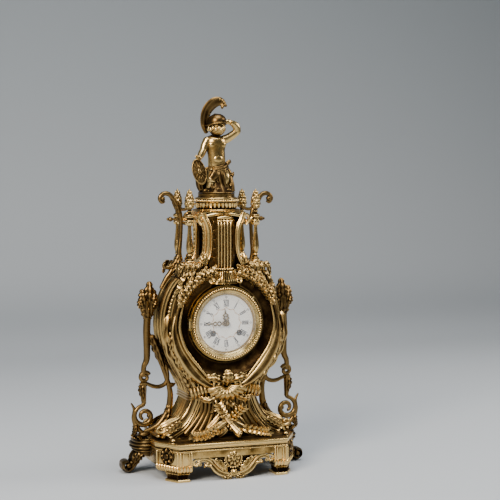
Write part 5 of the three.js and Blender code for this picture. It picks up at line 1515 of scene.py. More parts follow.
    @staticmethod
    def clip(ends, low, high):
        """The stretch of a straight line between two heights."""
        (x0, z0), (x1, z1) = ends
        if z0 > z1:
            x0, z0, x1, z1 = x1, z1, x0, z0
        if z1 <= low or z0 >= high:
            return None
        slope = (x1 - x0) / (z1 - z0)
        if z0 < low:
            x0, z0 = x0 + slope * (low - z0), low
        if z1 > high:
            x1, z1 = x1 + slope * (high - z1), high
        return [(x0, z0), (x1, z1)] if abs(z1 - z0) > 2 else None


class CLOCK_OT_lyre(bpy.types.Operator):
    """Lyre of fine rods over a fluted vase, above the dial"""

    bl_idname = "clock.lyre"
    bl_label = "Lyre and vase"

    def execute(self, context):
        base = TOWER_LOW.z
        parts = []
        for i in range(5):
            x = (i - 2) * 4.2
            parts.append(swept("rod", [(x, -33.4, base + 2), (x, -33.8, base + 30),
                (x, -33.4, base + 68)], single([1.15] * 3), single([1.6] * 3), (0, -1, 0), 12, 8))
        parts.append(swept("head", [(-11, -33, base + 69), (0, -33, base + 70.5),
            (11, -33, base + 69)], single([2, 2.4, 2]), single([2.4] * 3), (0, -1, 0), 12, 10))
        parts += beads_on("bead", [(-9.5, -35.4, base + 66), (9.5, -35.4, base + 66)], 1.2, 8)

        fan = [(0, -17), (18.4, -16.8), (19.4, -15), (17.8, -12), (14.4, -7), (11.8, -2), (10.8, 2),
            (11.4, 3.4), (8, 4), (0, 4)]

        def bowl_front(u, v):
            # half round and fluted, spreading from a beaded neck to its foot
            radius, z = along(fan, v)
            angle = math.pi * u
            flute = 1 - 0.07 * abs(math.sin(7 * angle)) * (0.15 < v < 0.75)
            return radius * math.cos(angle), -33.8 - 9 * (radius / 18) ** 0.6 * flute * math.sin(angle), base + z

        def bowl_back(u, v):
            radius, z = along(fan, v)
            return radius * (1 - 2 * u), -33.8, base + z

        bowl = joined("bowl", [surface("bowl", 84, 54, bowl_front),
            surface("bowl back", 1, 54, bowl_back)])
        weld(bowl)
        parts.append(bowl)
        for k in range(15):
            a = math.pi * (k + 0.5) / 15
            parts.append(swept("rib", [(11.2 * math.cos(a), -33.8 - 6.8 * math.sin(a), base + 0.5),
                (13.6 * math.cos(a), -33.8 - 7.8 * math.sin(a), base - 6),
                                       (18 * math.cos(a), -33.8 - 9.2 * math.sin(a), base - 13.4)],
                                       single([0.7, 0.9, 1.3]), single([0.9, 1.0, 1.0]),
                               (math.cos(a), -math.sin(a), 0.2), 8, 6))
        parts += [bead_at("bead", (11.6 * math.cos(a), -33.8 - 7 * math.sin(a), base + 3),
            1.15) for a in [math.pi * k / 11 for k in range(12)]]
        side = [
            bar("volute", spiral(18.6, base - 11.6, 4.4, 1.0, math.radians(120), -1.4, 14),
                [2.0, 2.0, 1.7, 1.3], -38, 1.4, 32, 8),
            bar("edge", [(12.4, base + 3), (13.4, base - 2), (16.4, base - 7), (19.4, base - 8.4)],
                [1.2, 1.5, 1.6, 1.2], -38.4, 1.2, 14, 8),
        ]
        parts += both(side)
        finish(joined("lyre", parts), MATERIALS["gilt"], "gilt_bronze", nodes=["lyre_colonnette"])
        return {"FINISHED"}


class CLOCK_OT_balusters(bpy.types.Operator):
    """Shoulder plinths with leaves, turned balusters and bud finials"""

    bl_idname = "clock.balusters"
    bl_label = "Balusters and finials"

    def execute(self, context):
        low, high = box_mm("right_shoulder_plinth")
        plinth = casting_of("right_shoulder_plinth", "plinth", 0.9)
        trim = [plinth]
        for y in (-34, 34):
            sign = math.copysign(1, y)
            for x, lean in ((38, -2), (44, 1), (50, 4), (55, 9)):
                trim.append(leaf_on("leaf", [(x, y + sign * 0.6, high.z - 1),
                    (x + lean * 0.5, y + sign * 4.6, (low.z + high.z) / 2),
                    (x + lean, y + sign * 1.5, low.z - 6)],
                                    4.2, 2.8, (0, sign, 0)))
        for y in (-26, -13, 0, 13, 26):
            trim.append(leaf_on("leaf", [(53, y, high.z), (57.6, y, (low.z + high.z) / 2),
                (56.4, y, low.z - 7)], 5.4, 2.8, (1, 0, 0.3)))
        trim.append(swept("rim", [(36, -34.6, high.z - 1.4), (54, -34.6, high.z - 1.4)],
            single([1.1] * 2), single([1.1] * 2), (0, -1, 0), 4, 8))
        trim.append(swept("rim", [(54.4, -34, high.z - 1.4), (54.4, 34, high.z - 1.4)],
            single([1.1] * 2), single([1.1] * 2), (1, 0, 0), 4, 8))
        right = joined("right_plinth", trim)
        left = twin(right, "left_plinth")
        finish(right, MATERIALS["bronze"], "patinated_bronze", nodes=["right_shoulder_plinth"])
        finish(left, MATERIALS["bronze"], "patinated_bronze", nodes=["left_shoulder_plinth"])

        low, high = box_mm("front_right_baluster")
        x, y = (low.x + high.x) / 2, (low.y + high.y) / 2 - MIDDLE_Y
        h = high.z - low.z
        shape = [(0, 0), (5.9, 0), (6, 1.6), (4.6, 2.6), (5.2, 3.8), (3.4, 5), (2.6, 7), (3.6, 9),
            (2.8, 11), (4.0, 15), (4.6, 20),
                 (4.2, 26), (3.2, 34), (2.6, 41), (2.4, h - 13), (3.8, h - 11.5), (2.8, h - 10),
                 (3.6, h - 8.4), (5.5, h - 7), (5.6, h - 5.4),
                 (4.4, h - 4.6), (4.4, h - 2.4), (5.6, h - 1.6), (5.6, h), (0, h)]
        body = turned("baluster", shape, (x, y), 32, low.z, (8, 0.35, 0.38, 0.62))
        trims = [body] + [
            leaf_on("leaf", [(x + 3.2 * math.cos(a), y + 3.2 * math.sin(a), low.z + h - 12),
                (x + 5.6 * math.cos(a), y + 5.6 * math.sin(a), low.z + h - 7.5)],
                    1.9, 1.2, (math.cos(a), math.sin(a), 0),
                    "small leaf") for a in [math.pi * k / 4 for k in range(8)]
        ]
        front_right = joined("front_right_turned_baluster", trims)
        box = box_mm("front_right_finial")
        tall = box[1].z - box[0].z
        bud = [(0, 0), (5.4, 0), (5.5, 1.4), (3.4, 2.6), (2.2, 4.4), (3.4, 5.8), (2.4, 7.4),
            (3.2, 9), (5.0, 12), (5.9, 17), (5.2, 23), (3.4, 29), (1.6, 33.5), (0, tall)]
        cone = [turned("bud", bud, (x, y), 24, box[0].z)]
        for row in range(6):
            z = 11.5 + row * 3.6
            radius = (5.2, 5.9, 5.7, 5.0, 3.9, 2.7)[row]
            for k in range(8):
                a = math.pi * (k + 0.5 * (row % 2)) / 4
                out = (math.cos(a), math.sin(a), 0)
                cone.append(leaf_on("scale", [(x + radius * 0.92 * out[0],
                    y + radius * 0.92 * out[1], box[0].z + z - 1.6),
                                              (x + radius * 1.04 * out[0],
                                                  y + radius * 1.04 * out[1], box[0].z + z + 1),
                                              (x + radius * 0.9 * out[0], y + radius * 0.9 * out[1],
                                                  box[0].z + z + 3.6)], radius * 0.34, 0.9, out,
                                                  "small leaf"))
        front_right_bud = joined("front_right_bud", cone)
        for piece, kind, end, material, slot in ((front_right, "baluster", "turned_baluster",
            "gilt", "gilt_bronze"),
                                                 (front_right_bud, "finial", "bud", "bronze",
                                                     "patinated_bronze")):
            rear = bpy.data.objects.new("rear_right_" + end, piece.data.copy())
            bpy.context.scene.collection.objects.link(rear)
            rear.data.transform(Matrix.Translation((0, -2 * y * MM, 0)))
            front_left, rear_left = twin(piece, "front_left_" + end), twin(rear, "rear_left_" + end)
            for corner, part in (("front_right", piece), ("rear_right", rear),
                ("front_left", front_left), ("rear_left", rear_left)):
                finish(part, MATERIALS[material], slot, nodes=[f"{corner}_{kind}"])
        return {"FINISHED"}


class CLOCK_OT_pedestal(bpy.types.Operator):
    """Round pedestal with a bead row and a band of lobes"""

    bl_idname = "clock.pedestal"
    bl_label = "Pedestal"

    def execute(self, context):
        z, top = PEDESTAL_LOW.z, PEDESTAL_HIGH.z
        h = top - z
        r = 30.0
        body = turned("pedestal", [(0, 0), (r + 1.8, 0), (r + 1.9, 1.6), (r + 0.4, 2.8),
            (r - 3.4, 3.6), (r - 4.2, 5.4), (r - 3.2, 11), (r - 1, 12.4),
                                   (r - 0.4, 14.6), (r - 1.8, 16), (r - 1.4, 17.4), (r - 3, 18.6),
                                   (r - 5.4, 19.4), (r - 5.6, h - 1), (r - 7, h), (0, h)],
                      (0, 0), 72, z, count=5)
        parts = [body]
        for k in range(32):
            a = 2 * math.pi * k / 32
            out = (math.cos(a), math.sin(a), 0)
            parts.append(swept("lobe", [((r - 3.6) * out[0], (r - 3.6) * out[1], z + 4.2),
                ((r - 2.6) * out[0], (r - 2.6) * out[1], z + 8),
                                        ((r - 1.8) * out[0], (r - 1.8) * out[1], z + 11.6)],
                                        single([1.5, 2.1, 2.3]), single([1.2, 1.5, 1.2]), out, 6,
                                        6))
        for k in range(56):
            a = 2 * math.pi * k / 56
            parts.append(bead_at("bead", ((r - 0.6) * math.cos(a), (r - 0.6) * math.sin(a),
                z + 14.4), 1.25))
        finish(joined("pedestal", parts), MATERIALS["gilt"], "gilt_bronze", nodes=["top_pedestal"])
        return {"FINISHED"}


HEAD = (0.6, -1.6, 87.5)
HEAD_TURN = 34


class CLOCK_OT_figure(bpy.types.Operator):
    """Child with a plumed helmet, a cloth round the waist, one arm raised; shield beside"""

    bl_idname = "clock.figure"
    bl_label = "Figure"

    def execute(self, context):
        z = FIGURE_LOW.z

        def limb(path, sizes, flatness=0.95, sides=16, steps=20, face=(0, -1, 0), ribs=(0, 0)):
            points = [(x, y, z + h) for x, y, h in path]
            return swept("limb", points, single(sizes), single([s * flatness for s in sizes]), face,
                steps, sides, ribs)

        def ball(x, y, h, radius, stretch=(1, 1, 1)):
            return bead_at("form", (x, y, z + h), radius, "ball", stretch)

        flesh = [
            # trunk: belly, chest and shoulders of a plump child, leaning a little back
            limb([(1, 0, 30), (0.4, -1, 38), (0, -1.4, 47), (-0.6, -0.6, 57), (-0.6, 0.4, 66),
                (-0.4, 0.4, 72.6), (0, 0, 77)],
                 [11.4, 12, 11.8, 12.4, 14.4, 12.6, 6], 0.74, 28, 36),
            ball(0, -6.2, 45, 7.6, (1, 0.62, 0.95)), ball(-5.6, -5.4, 64, 6.4, (1.1, 0.62, 0.8)),
            ball(5, -5.4, 64.2, 6.4, (1.1, 0.62, 0.8)),
            ball(-12, 0.4, 69.5, 6.2, (1, 0.95, 0.9)), ball(11, 0.4, 70, 6.2, (1, 0.95, 0.9)),
            ball(0, -9.9, 41.5, 0.9, (1, 0.4, 1)),
            limb([(0, 0.4, 70), (0.4, 0, 76), (0.6, -0.6, 81)], [6.6, 5.6, 5.6], 0.95),
            # raised arm: out to the elbow, back to the brow
            limb([(9, 0.4, 70), (16, -0.6, 73), (23, -1.8, 77.6), (28.6, -2.6, 82)],
                [6.4, 5.8, 5.3, 4.9]),
            limb([(28.8, -2.6, 81.6), (27, -3.6, 88), (22.6, -5, 92), (17.6, -6.4, 93.6)],
                [5.0, 5.3, 4.4, 3.2]),
            ball(28.6, -2.6, 82.6, 5.0), limb([(18.6, -6, 93.6), (14.4, -8.4, 94.4),
                (10.4, -10.6, 93.6)], [3.2, 3.4, 1.9], 0.6),
            # hanging arm, bent a little outwards
            limb([(-12, 0.4, 70), (-16, -0.4, 63), (-18.6, -1.6, 56)], [6.2, 5.6, 4.9]),
            limb([(-18.4, -1.6, 57), (-22.4, -4, 51), (-25.4, -6.6, 46.8)], [5.0, 4.8, 3.3]),
            ball(-18.4, -1.6, 57, 4.7), ball(-27, -7.4, 46, 3.9, (1.05, 0.8, 1)),
            limb([(-28.6, -9, 49.4), (-30, -10, 46.4)], [1.2, 1.0]),
            limb([(-30.2, -8, 50), (-31.4, -8.6, 47.4)], [1.1, 0.9]),
            # legs below the cloth, the near one bent
            limb([(-6, -4, 28), (-9.6, -9.6, 20), (-10.6, -10.6, 14)], [8, 7, 5.6]),
            limb([(-10.6, -10.6, 15), (-12.4, -8.4, 7), (-13, -7.6, 1.6)], [5.2, 4.7, 3.2]),
            limb([(-13, -7, 2.4), (-14.4, -12, 1.9), (-15.4, -16, 1.6)], [3.2, 3.0, 1.8], 0.65),
            limb([(7, -2, 28), (9, -9, 22), (8, -11, 15), (7, -9.6, 6), (6.6, -10, 2)],
                [8, 7, 5.4, 4.6, 3]),
            limb([(6.6, -9, 2.6), (7, -14, 2), (7.4, -18, 1.8)], [3.2, 3.0, 1.8], 0.65),
        ]
        flesh += self.head(z)
        dress = self.dress(z, limb)
        finish(joined("child", flesh), MATERIALS["gilt"], "patinated_bronze", nodes=["figure"],
            angle=60)
        # painted shade: the cloth, mound and rocks take the darkest bronze for the shadow below the bright torso
        finish(joined("drapery", dress), MATERIALS["dark"], "patinated_bronze", angle=60)
        finish(joined("plumed_helmet", self.helmet(z)), MATERIALS["dark"], "patinated_bronze",
            angle=60)
        self.shield(z)
        return {"FINISHED"}

    def head(self, z):
        """A calm generic child's head on plain proportions, under a helmet with a curled plume."""
        cx, cy, cz = HEAD[0], HEAD[1], z + HEAD[2]
        turn = math.radians(HEAD_TURN)

        def face_surface(u, v):
            # a ball shaped into a face: brow, sockets, nose, lips, chin and cheeks
            theta = 2 * math.pi * u
            phi = math.pi * v
            nx, ny, nz = math.sin(phi) * math.sin(theta), -math.sin(phi) * math.cos(theta), -math.cos(phi)
            r = 11.8
            x, y, h = nx * r * 0.92, ny * r * 0.98, nz * r * 1.06
            if ny < 0:
                front = (-ny) ** 2

                def bump(px, pz, sx, sz, amount):
                    return amount * front * math.exp(-((nx - px) / sx) ** 2 - ((nz - pz) / sz) ** 2)

                out = bump(0, -0.10, 0.13, 0.17, 1.5) + bump(0, -0.24, 0.16, 0.07, 0.8)
                out += bump(0, -0.46, 0.17, 0.05, 0.6) + bump(0, -0.56, 0.14, 0.05, 0.6) - bump(0,
                    -0.51, 0.18, 0.022, 0.5)
                out += bump(0, -0.80, 0.24, 0.14, 1.1)
                for s in (-1, 1):
                    out += bump(s * 0.34, 0.24, 0.25, 0.07, 0.4) - bump(s * 0.33, 0.07, 0.17, 0.10,
                        0.7)
                    out += bump(s * 0.33, 0.06, 0.10, 0.05, 0.5) + bump(s * 0.44, -0.34, 0.28, 0.24,
                        1.1)
                x, y, h = x * (1 + out / 14), y - out, h
            a = x * math.cos(turn) - y * math.sin(turn)
            b = x * math.sin(turn) + y * math.cos(turn)
            return cx + a, cy + b, cz + h

        parts = [surface("face", 72, 60, face_surface)]
        for s in (-1, 1):
            parts.append(bead_at("ear", (cx + s * 10.6 * math.cos(turn),
                cy + s * 10.6 * math.sin(turn) + 0.5, cz - 0.6), 2.6, "ball", (0.5, 0.8, 1.25)))

        for k in range(9):
            a = math.radians(110 + k * 20) + turn
            parts.append(bead_at("curl", (cx + 11.2 * math.cos(a), cy + 10.8 * math.sin(a),
                cz - 1.4 - (k % 2) * 1.8), 2.7))
        return parts

    def helmet(self, z):
        """Round helmet with a peak, and a plume that curls forward over it."""
        cx, cy, cz = HEAD[0], HEAD[1], z + HEAD[2]
        turn = math.radians(HEAD_TURN)
        parts = []

        def bowl(u, v):
            radius, h = along([(12.4, 0), (13.2, 1), (12.9, 2.2), (12.9, 5), (11.8, 9), (8.8, 12.6),
                (4.2, 14.8), (0, 15.2)], v)
            angle = 2 * math.pi * u
            peak = 1 + 0.16 * max(math.cos(angle + math.pi / 2 - turn), 0) ** 6 * (v < 0.4)
            tilt = 2.2 * math.sin(angle - turn)
            return cx + radius * peak * math.cos(angle), cy + 0.6 + radius * peak * math.sin(angle), cz + 2.4 + h - tilt * (1 - v)

        cap = surface("helmet", 48, 35, bowl)
        parts.append(cap)
        rim = [(cx + 13.2 * math.cos(a), cy + 0.6 + 13.2 * math.sin(a),
            cz + 3.4 - 2.2 * math.sin(a - turn)) for a in
               [2 * math.pi * k / 16 for k in range(17)]]
        parts.append(swept("helmet rim", rim, single([1.3] * 2), single([1.3] * 2), (0, 0, 1), 48,
            8))
        # plume: from behind the neck up over the crown and forwards, feathered
        spine = [(-11, 7, 79), (-14, 7, 90), (-14, 5.4, 101), (-11, 4, 110.6), (-5, 2, 118),
            (1.6, 0.4, 121.6), (7.4, -0.8, 120.6), (10.6, -1.8, 115.6)]
        spine = [(x, y, z + h) for x, y, h in spine]
        parts.append(swept("plume", spine, single([2.2, 4.6, 5.6, 6.2, 6.4, 5.8, 4.6, 2.4]),
            single([1.8, 3.4, 4, 4.2, 4.2, 3.8, 3.0, 1.6]), (0, -1, 0), 48, 18, ribs=(6, 0.12)))
        for i in range(14):
            t = 0.12 + i * 0.062
            here, side, lift = frame_at(spine, t, (0, -1, 0))
            ahead = (Vector(along(spine, min(t + 0.03, 1))) - here).normalized()
            for hand, reach in ((-1, 5.4), (1, 7.4)):
                size = reach * (0.55 + 0.45 * math.sin(math.pi * t))
                tip = here + side * hand * size + ahead * 5
                tip.z = min(tip.z, FIGURE_HIGH.z - 1.6)
                for depth in (-2.2, 2.2):
                    parts.append(leaf_on("feather",
                        [tuple(here + lift * depth * 0.5), tuple((here + tip) / 2 + lift * depth),
                            tuple(tip)], 1.9, 1.3, (0, -1, 0), "small leaf"))
        parts.append(swept("crest base", [(cx - 6, cy + 4, cz + 12), (cx - 2, cy + 2, cz + 16),
            (cx + 5, cy - 1, cz + 15)], single([1.4, 2.2, 1.2]), single([1.6] * 3), (0, -1, 0), 12,
            8))
        return parts

    def dress(self, z, limb):
        """Cloth knotted round the waist, falling over the mound, and the tree stump."""
        parts = [
            limb([(-13, -2, 33), (-4, -9.5, 31.5), (6, -9.5, 34), (14.5, -2, 39)], [3, 3.6, 3.8, 3],
                0.8, 18, 24, (0, -1, 0.3), (5, 0.16)),
            limb([(-13, -1, 31), (-4, -10, 28.6), (6, -10, 30.6), (15, -2, 35)], [3.4, 4.2, 4.2, 3],
                0.8, 18, 24, (0, -1, 0.3), (5, 0.16)),
            limb([(-13, 0, 32), (-6, 9, 31), (5, 9, 33), (14, 0, 37)], [3.4, 4.4, 4.4, 3.2], 0.8,
                18, 24, (0, 1, 0.3), (5, 0.16)),
            limb([(14, -3, 38), (17.6, -3, 42), (20, -1, 40)], [2.6, 2.4, 1.0], 0.8, 12, 12,
                (0, -1, 0), (4, 0.14)),
            limb([(0, -6, 31), (3, -12, 24), (5, -13.6, 14), (9, -12, 4)], [8.5, 8, 6.4, 5], 0.5,
                26, 26, (0, -1, 0), (7, 0.12)),
            limb([(-4, -6, 30), (-6, -13, 25), (-12, -14, 18)], [7.6, 7.4, 5], 0.6, 24, 22,
                (0, -1, 0.2), (6, 0.12)),
            limb([(-12, 2, 31), (-19, 3, 24), (-21, 2, 12), (-20, 0, 3)], [6, 7, 6, 4], 0.8, 22, 24,
                (-0.5, -1, 0), (6, 0.12)),
            limb([(10, 0, 32), (16, 0, 25), (18, 0, 15), (20, -2, 4)], [7, 6.6, 6, 5], 0.8, 22, 24,
                (0.4, -1, 0), (6, 0.12)),
            limb([(0, 6, 32), (0, 14, 22), (1, 15, 12), (0, 15, 2)], [10, 12, 11, 12], 0.5, 28, 24,
                (0, 1, 0), (8, 0.12)),
            limb([(15.5, -6, 22), (17.5, -7, 12), (18, -7, 1)], [4.2, 4.8, 5.6], 0.9, 18, 14,
                (0, -1, 0), (7, 0.1)),
        ]
        mound = turned("mound", [(0, -0.0), (23.6, 0), (24, 1.6), (22, 4), (19, 8), (15, 14),
            (11, 22), (9, 30), (0, 31)], (0, 0), 64, z, (11, 1.2, 0.12, 0.8))
        parts.append(mound)
        for x, y, h, radius in ((-3, -17, 5, 3.4), (12, -16, 4, 3), (-18, -10, 3, 3.6),
            (19, 6, 4, 4), (-16, 12, 4, 4), (4, 18, 4, 4), (16, -7, 24, 2.6)):
            parts.append(bead_at("rock", (x, y, z + h), radius, "ball", (1.2, 1, 0.8)))
        for x, y, h, dx in ((14, -10, 6, 5), (-8, -17, 3, -5), (20, -3, 20, 3)):
            parts.append(leaf_on("leaf", [(x, y, z + h), (x + dx * 0.5, y - 2, z + h + 4),
                (x + dx, y - 1, z + h + 8)], 2.6, 1.6))
        return parts

    def shield(self, z):
        """Oval shield with a raised rim and boss, leaning on the mound."""
        lean = Matrix.Rotation(math.radians(-14), 3, "Y") @ Matrix.Rotation(math.radians(-8), 3,
            "X")

        def formula(u, v):
            part, out = along([(0, 0.8), (0.5, 0.9), (0.95, 0.6), (1.0, -0.3), (0.97, -1.3),
                (0.9, -1.6), (0.84, -0.9), (0.6, -1.5), (0.3, -2.0), (0.24, -2.2), (0.16, -3.4),
                (0, -3.8)], v)
            angle = 2 * math.pi * u
            wave = 0.25 * math.cos(12 * angle) * (0.3 < part < 0.84)
            local = lean @ Vector((9.4 * part * math.cos(angle), out * 0.75 - wave,
                17.6 * part * math.sin(angle)))
            return -28.4 + local.x, -14.6 + local.y, z + 28 + local.z

        piece = surface("oval_shield", 48, 44, formula)
        finish(piece, MATERIALS["bronze"], "patinated_bronze", nodes=["figure_shield"])


# ---- Dial, hands and bezel ----------------------------------------------------------------------

ROMAN = ("XII", "I", "II", "III", "IIII", "V", "VI", "VII", "VIII", "IX", "X", "XI")


def on_dial(angle, radius, right=0.0, up=0.0):
    """[x, z] of a point on the dial: angle clockwise from twelve, then a step right and up."""
    x = radius * math.sin(angle) + right * math.cos(angle) + up * math.sin(angle)
    z = radius * math.cos(angle) - right * math.sin(angle) + up * math.cos(angle)
    return x, DIAL_Z + z


def stroke(angle, radius, start, end, width, y):
    """A flat painted stroke between two (right, up) points of a numeral's own frame."""
    (a, b), (c, d) = start, end
    length = math.hypot(c - a, d - b)
    side = ((d - b) / length * width, -(c - a) / length * width)

    def place(u, v, w):
        right, up = a + (c - a) * (v + 0.5) + side[0] * u, b + (d - b) * (v + 0.5) + side[1] * u
        x, z = on_dial(angle, radius, right, up)
        return x, y - 0.06 * (w + 0.5), z

    return copy_to(MASTERS["block"], "stroke", place)


class CLOCK_OT_dial(bpy.types.Operator):
    """White enamel dial with fired numerals, minute dots and small garlands"""

    bl_idname = "clock.dial"
    bl_label = "Dial"

    def execute(self, context):
        low, high = box_mm("dial")
        front = low.y - MIDDLE_Y
        edge = (high.x - low.x) / 2
        sizes = context.scene.clock_dial
        dome = 0.35
        plate = dished("dial_plate", [(0, front + 1), (edge, front + 1), (edge, front + 0.5),
            (edge - 0.4, front + 0.1), (edge - 1, front),
                                      (edge * 0.6, front - dome * 0.4), (0, front - dome * 0.4)],
                                      96, count=2)
        for x, z, radius in ((0, 0, 3.6), (-18, -13, 3), (18, -13, 3)):
            cut(plate, dished("hole", [(0, front + 4), (radius, front + 4), (radius, front - 4),
                (0, front - 4)], 32, centre=(x, z), count=1))
        weld(plate, outwards=False)
        finish(plate, MATERIALS["enamel"], "dial_enamel", nodes=["dial"])
        ink = front - 0.3
        marks = []
        height = sizes.numeral_height / MM
        ring = sizes.numeral_ring / MM
        for hour, numeral in enumerate(ROMAN):
            angle = 2 * math.pi * hour / 12
            marks += self.numeral(numeral, angle, ring, height, ink)
        for minute in range(60):
            angle = 2 * math.pi * minute / 60
            x, z = on_dial(angle, ring + height / 2 + 1.7)
            size = 0.5 if minute % 5 == 0 else 0.3
            marks.append(bead_at("minute dot", (x, ink, z), size, "bead", (1, 0.25, 1)))
        marks += self.minute_figures(sizes.minute_ring / MM, ink)
        finish(joined("dial_numerals", marks), MATERIALS["blue"], "dial_enamel")
        self.garlands(ring - height / 2 - 2.2, ink)
        self.winding_holes(front)
        return {"FINISHED"}

    def numeral(self, text, angle, ring, height, ink):
        """The strokes of one Roman numeral, its foot towards the centre of the dial."""
        widths = {"I": 1.8, "V": 3.7, "X": 3.8}
        total = sum(widths[letter] for letter in text)
        squeeze = min(1.0, 10.6 / total)
        right, strokes, top = -total * squeeze / 2, [], height / 2
        for letter in text:
            wide = widths[letter] * squeeze
            middle, half = right + wide / 2, wide / 2 - 0.3
            if letter == "I":
                lines = [((middle, -top), (middle, top), 1.0)]
            elif letter == "V":
                lines = [((middle - half, top), (middle, -top), 1.2),
                    ((middle, -top), (middle + half, top), 0.55)]
            else:
                lines = [((middle - half, top), (middle + half, -top), 1.2),
                    ((middle - half, -top), (middle + half, top), 0.55)]
            reach = wide / 2
            lines.append(((middle - reach, top), (middle + reach, top), 0.45))
            lines.append(((middle - reach, -top), (middle + reach, -top), 0.45))
            strokes += [stroke(angle, ring, start, end, thick, ink) for start, end, thick in lines]
            right += wide
        return strokes

    def minute_figures(self, ring, ink):
        """Small Arabic figures at every fifth minute, made from text curves."""
        figures = []
        for step in range(1, 13):
            angle = 2 * math.pi * step / 12
            bpy.ops.object.select_all(action="DESELECT")
            bpy.ops.object.text_add()
            text = bpy.context.active_object
            text.data.body = str(step * 5)
            text.data.align_x = "CENTER"
            text.data.align_y = "CENTER"
            text.data.resolution_u = 3
            text.data.extrude = 0.02
            bpy.ops.object.convert(target="MESH")
            figure = bpy.context.active_object
            for vertex in figure.data.vertices:
                x, z = on_dial(angle, ring, vertex.co.x * 3.4, vertex.co.y * 3.4)
                vertex.co = at(x, ink - vertex.co.z, z)
            figures.append(weld(figure))
        return figures

    def garlands(self, ring, ink):
        """Small painted festoons with a bow, inside the hour ring."""
        pieces = []
        for step in range(12):
            middle = 2 * math.pi * (step + 0.5) / 12
            for k in range(7):
                part = (k - 3) / 3
                x, z = on_dial(middle + part * 0.2, ring - 1.7 * (1 - part * part))
                pieces.append(bead_at("flower", (x, ink, z), 0.62 - 0.16 * abs(part), "bead",
                    (1, 0.2, 1)))
            x, z = on_dial(2 * math.pi * step / 12, ring + 0.4)
            pieces.append(bead_at("bow", (x, ink, z), 0.75, "bead", (1, 0.2, 1)))
        finish(joined("dial_garlands", pieces), MATERIALS["rose"], "dial_enamel")

    def winding_holes(self, front):
        """An eyelet round the centre hole, and near-black wells behind the two winding holes, each with a rim on
        the dial.
        """
        rings, wells = [], []
        for x, z, radius in ((0, 0, 3.6), (-18, -13, 3.0), (18, -13, 3.0)):
            if x:
                wells.append(dished("well", [(1.75, front + 3), (radius - 0.2, front + 3),
                    (radius - 0.2, front), (radius + 0.9, front), (radius + 0.9, front - 0.5),
                                             (radius - 0.4, front - 0.6), (1.75, front + 0.6),
                                             (1.75, front + 3)], 24, centre=(x, z), count=1))
            else:
                rings.append(dished("eyelet", [(radius + 0.9, front + 0.1),
                    (radius + 0.8, front - 0.45), (radius - 0.6, front - 0.5),
                    (radius - 0.7, front + 0.4),
                                               (radius + 0.9, front + 0.1)], 32, centre=(x, z),
                                               count=1))
        finish(joined("winding_wells", wells), MATERIALS["black"], "clock_brass")
        finish(joined("winding_eyelets", rings), MATERIALS["hands"], "clock_brass")


class CLOCK_OT_hands(bpy.types.Operator):
    """Two pierced and chased gilt hands"""

    bl_idname = "clock.hands"
    bl_label = "Hands"

    def execute(self, context):
        for name, cad, body, hours, swell in (("pierced_minute_hand", "minute_hand", "minute_arbor",
            9.0, 1.0),
                                              ("pierced_hour_hand", "hour_hand", "hour_pipe", 11.75,
                                                  1.35)):
            low, high = box_mm(cad)
            y = (low.y + high.y) / 2 - MIDDLE_Y
            angle = 2 * math.pi * hours / 12
            reach = max(high.z - DIAL_Z, DIAL_Z - low.z, high.x, -low.x)
            length = reach / max(abs(math.sin(angle)), abs(math.cos(angle)))
            thick = (high.y - low.y) / 2
            piece = self.hand(name, angle, y, length, thick, swell)
            finish(piece, MATERIALS["hands"], "gilt_hands", body=body, nodes=[cad])
        return {"FINISHED"}

    def hand(self, name, angle, y, length, thick, swell):
        def rod(points, sizes):
            path = []
            for right, up in points:
                x, z = on_dial(angle, 0, right, up)
                path.append((x, y, z))
            return swept("rod", path, single(sizes), single([thick * 0.9] * len(sizes)), (0, -1, 0),
                20, 8)

        w = 2.5 * swell
        parts = [
            dished("eye", [(1.3, y - thick), (3.5, y - thick), (3.7, y), (3.5, y + thick),
                (1.3, y + thick), (1.3, y - thick)], 32, count=1),
            rod([(0, 3), (0, length * 0.26)], [0.95 * swell, 0.75 * swell]),
            rod([(0, length * 0.60), (0, length * 0.8), (0, length)], [1.3 * swell, 0.8, 0.35]),
        ]
        for side in (-1, 1):
            parts.append(rod([(0, length * 0.24), (side * w, length * 0.34),
                (side * w * 0.55, length * 0.43), (0, length * 0.47)], [0.75, 0.95, 0.85, 0.6]))
            parts.append(rod([(0, length * 0.45), (side * w * 0.95, length * 0.53),
                (side * w * 0.6, length * 0.6), (0, length * 0.64)], [0.65, 0.9, 0.8, 0.6]))
            parts.append(rod([(0, length * 0.16), (side * w * 0.8, length * 0.20),
                (side * w * 0.7, length * 0.15)], [0.6, 0.75, 0.5]))
        return joined(name, parts)


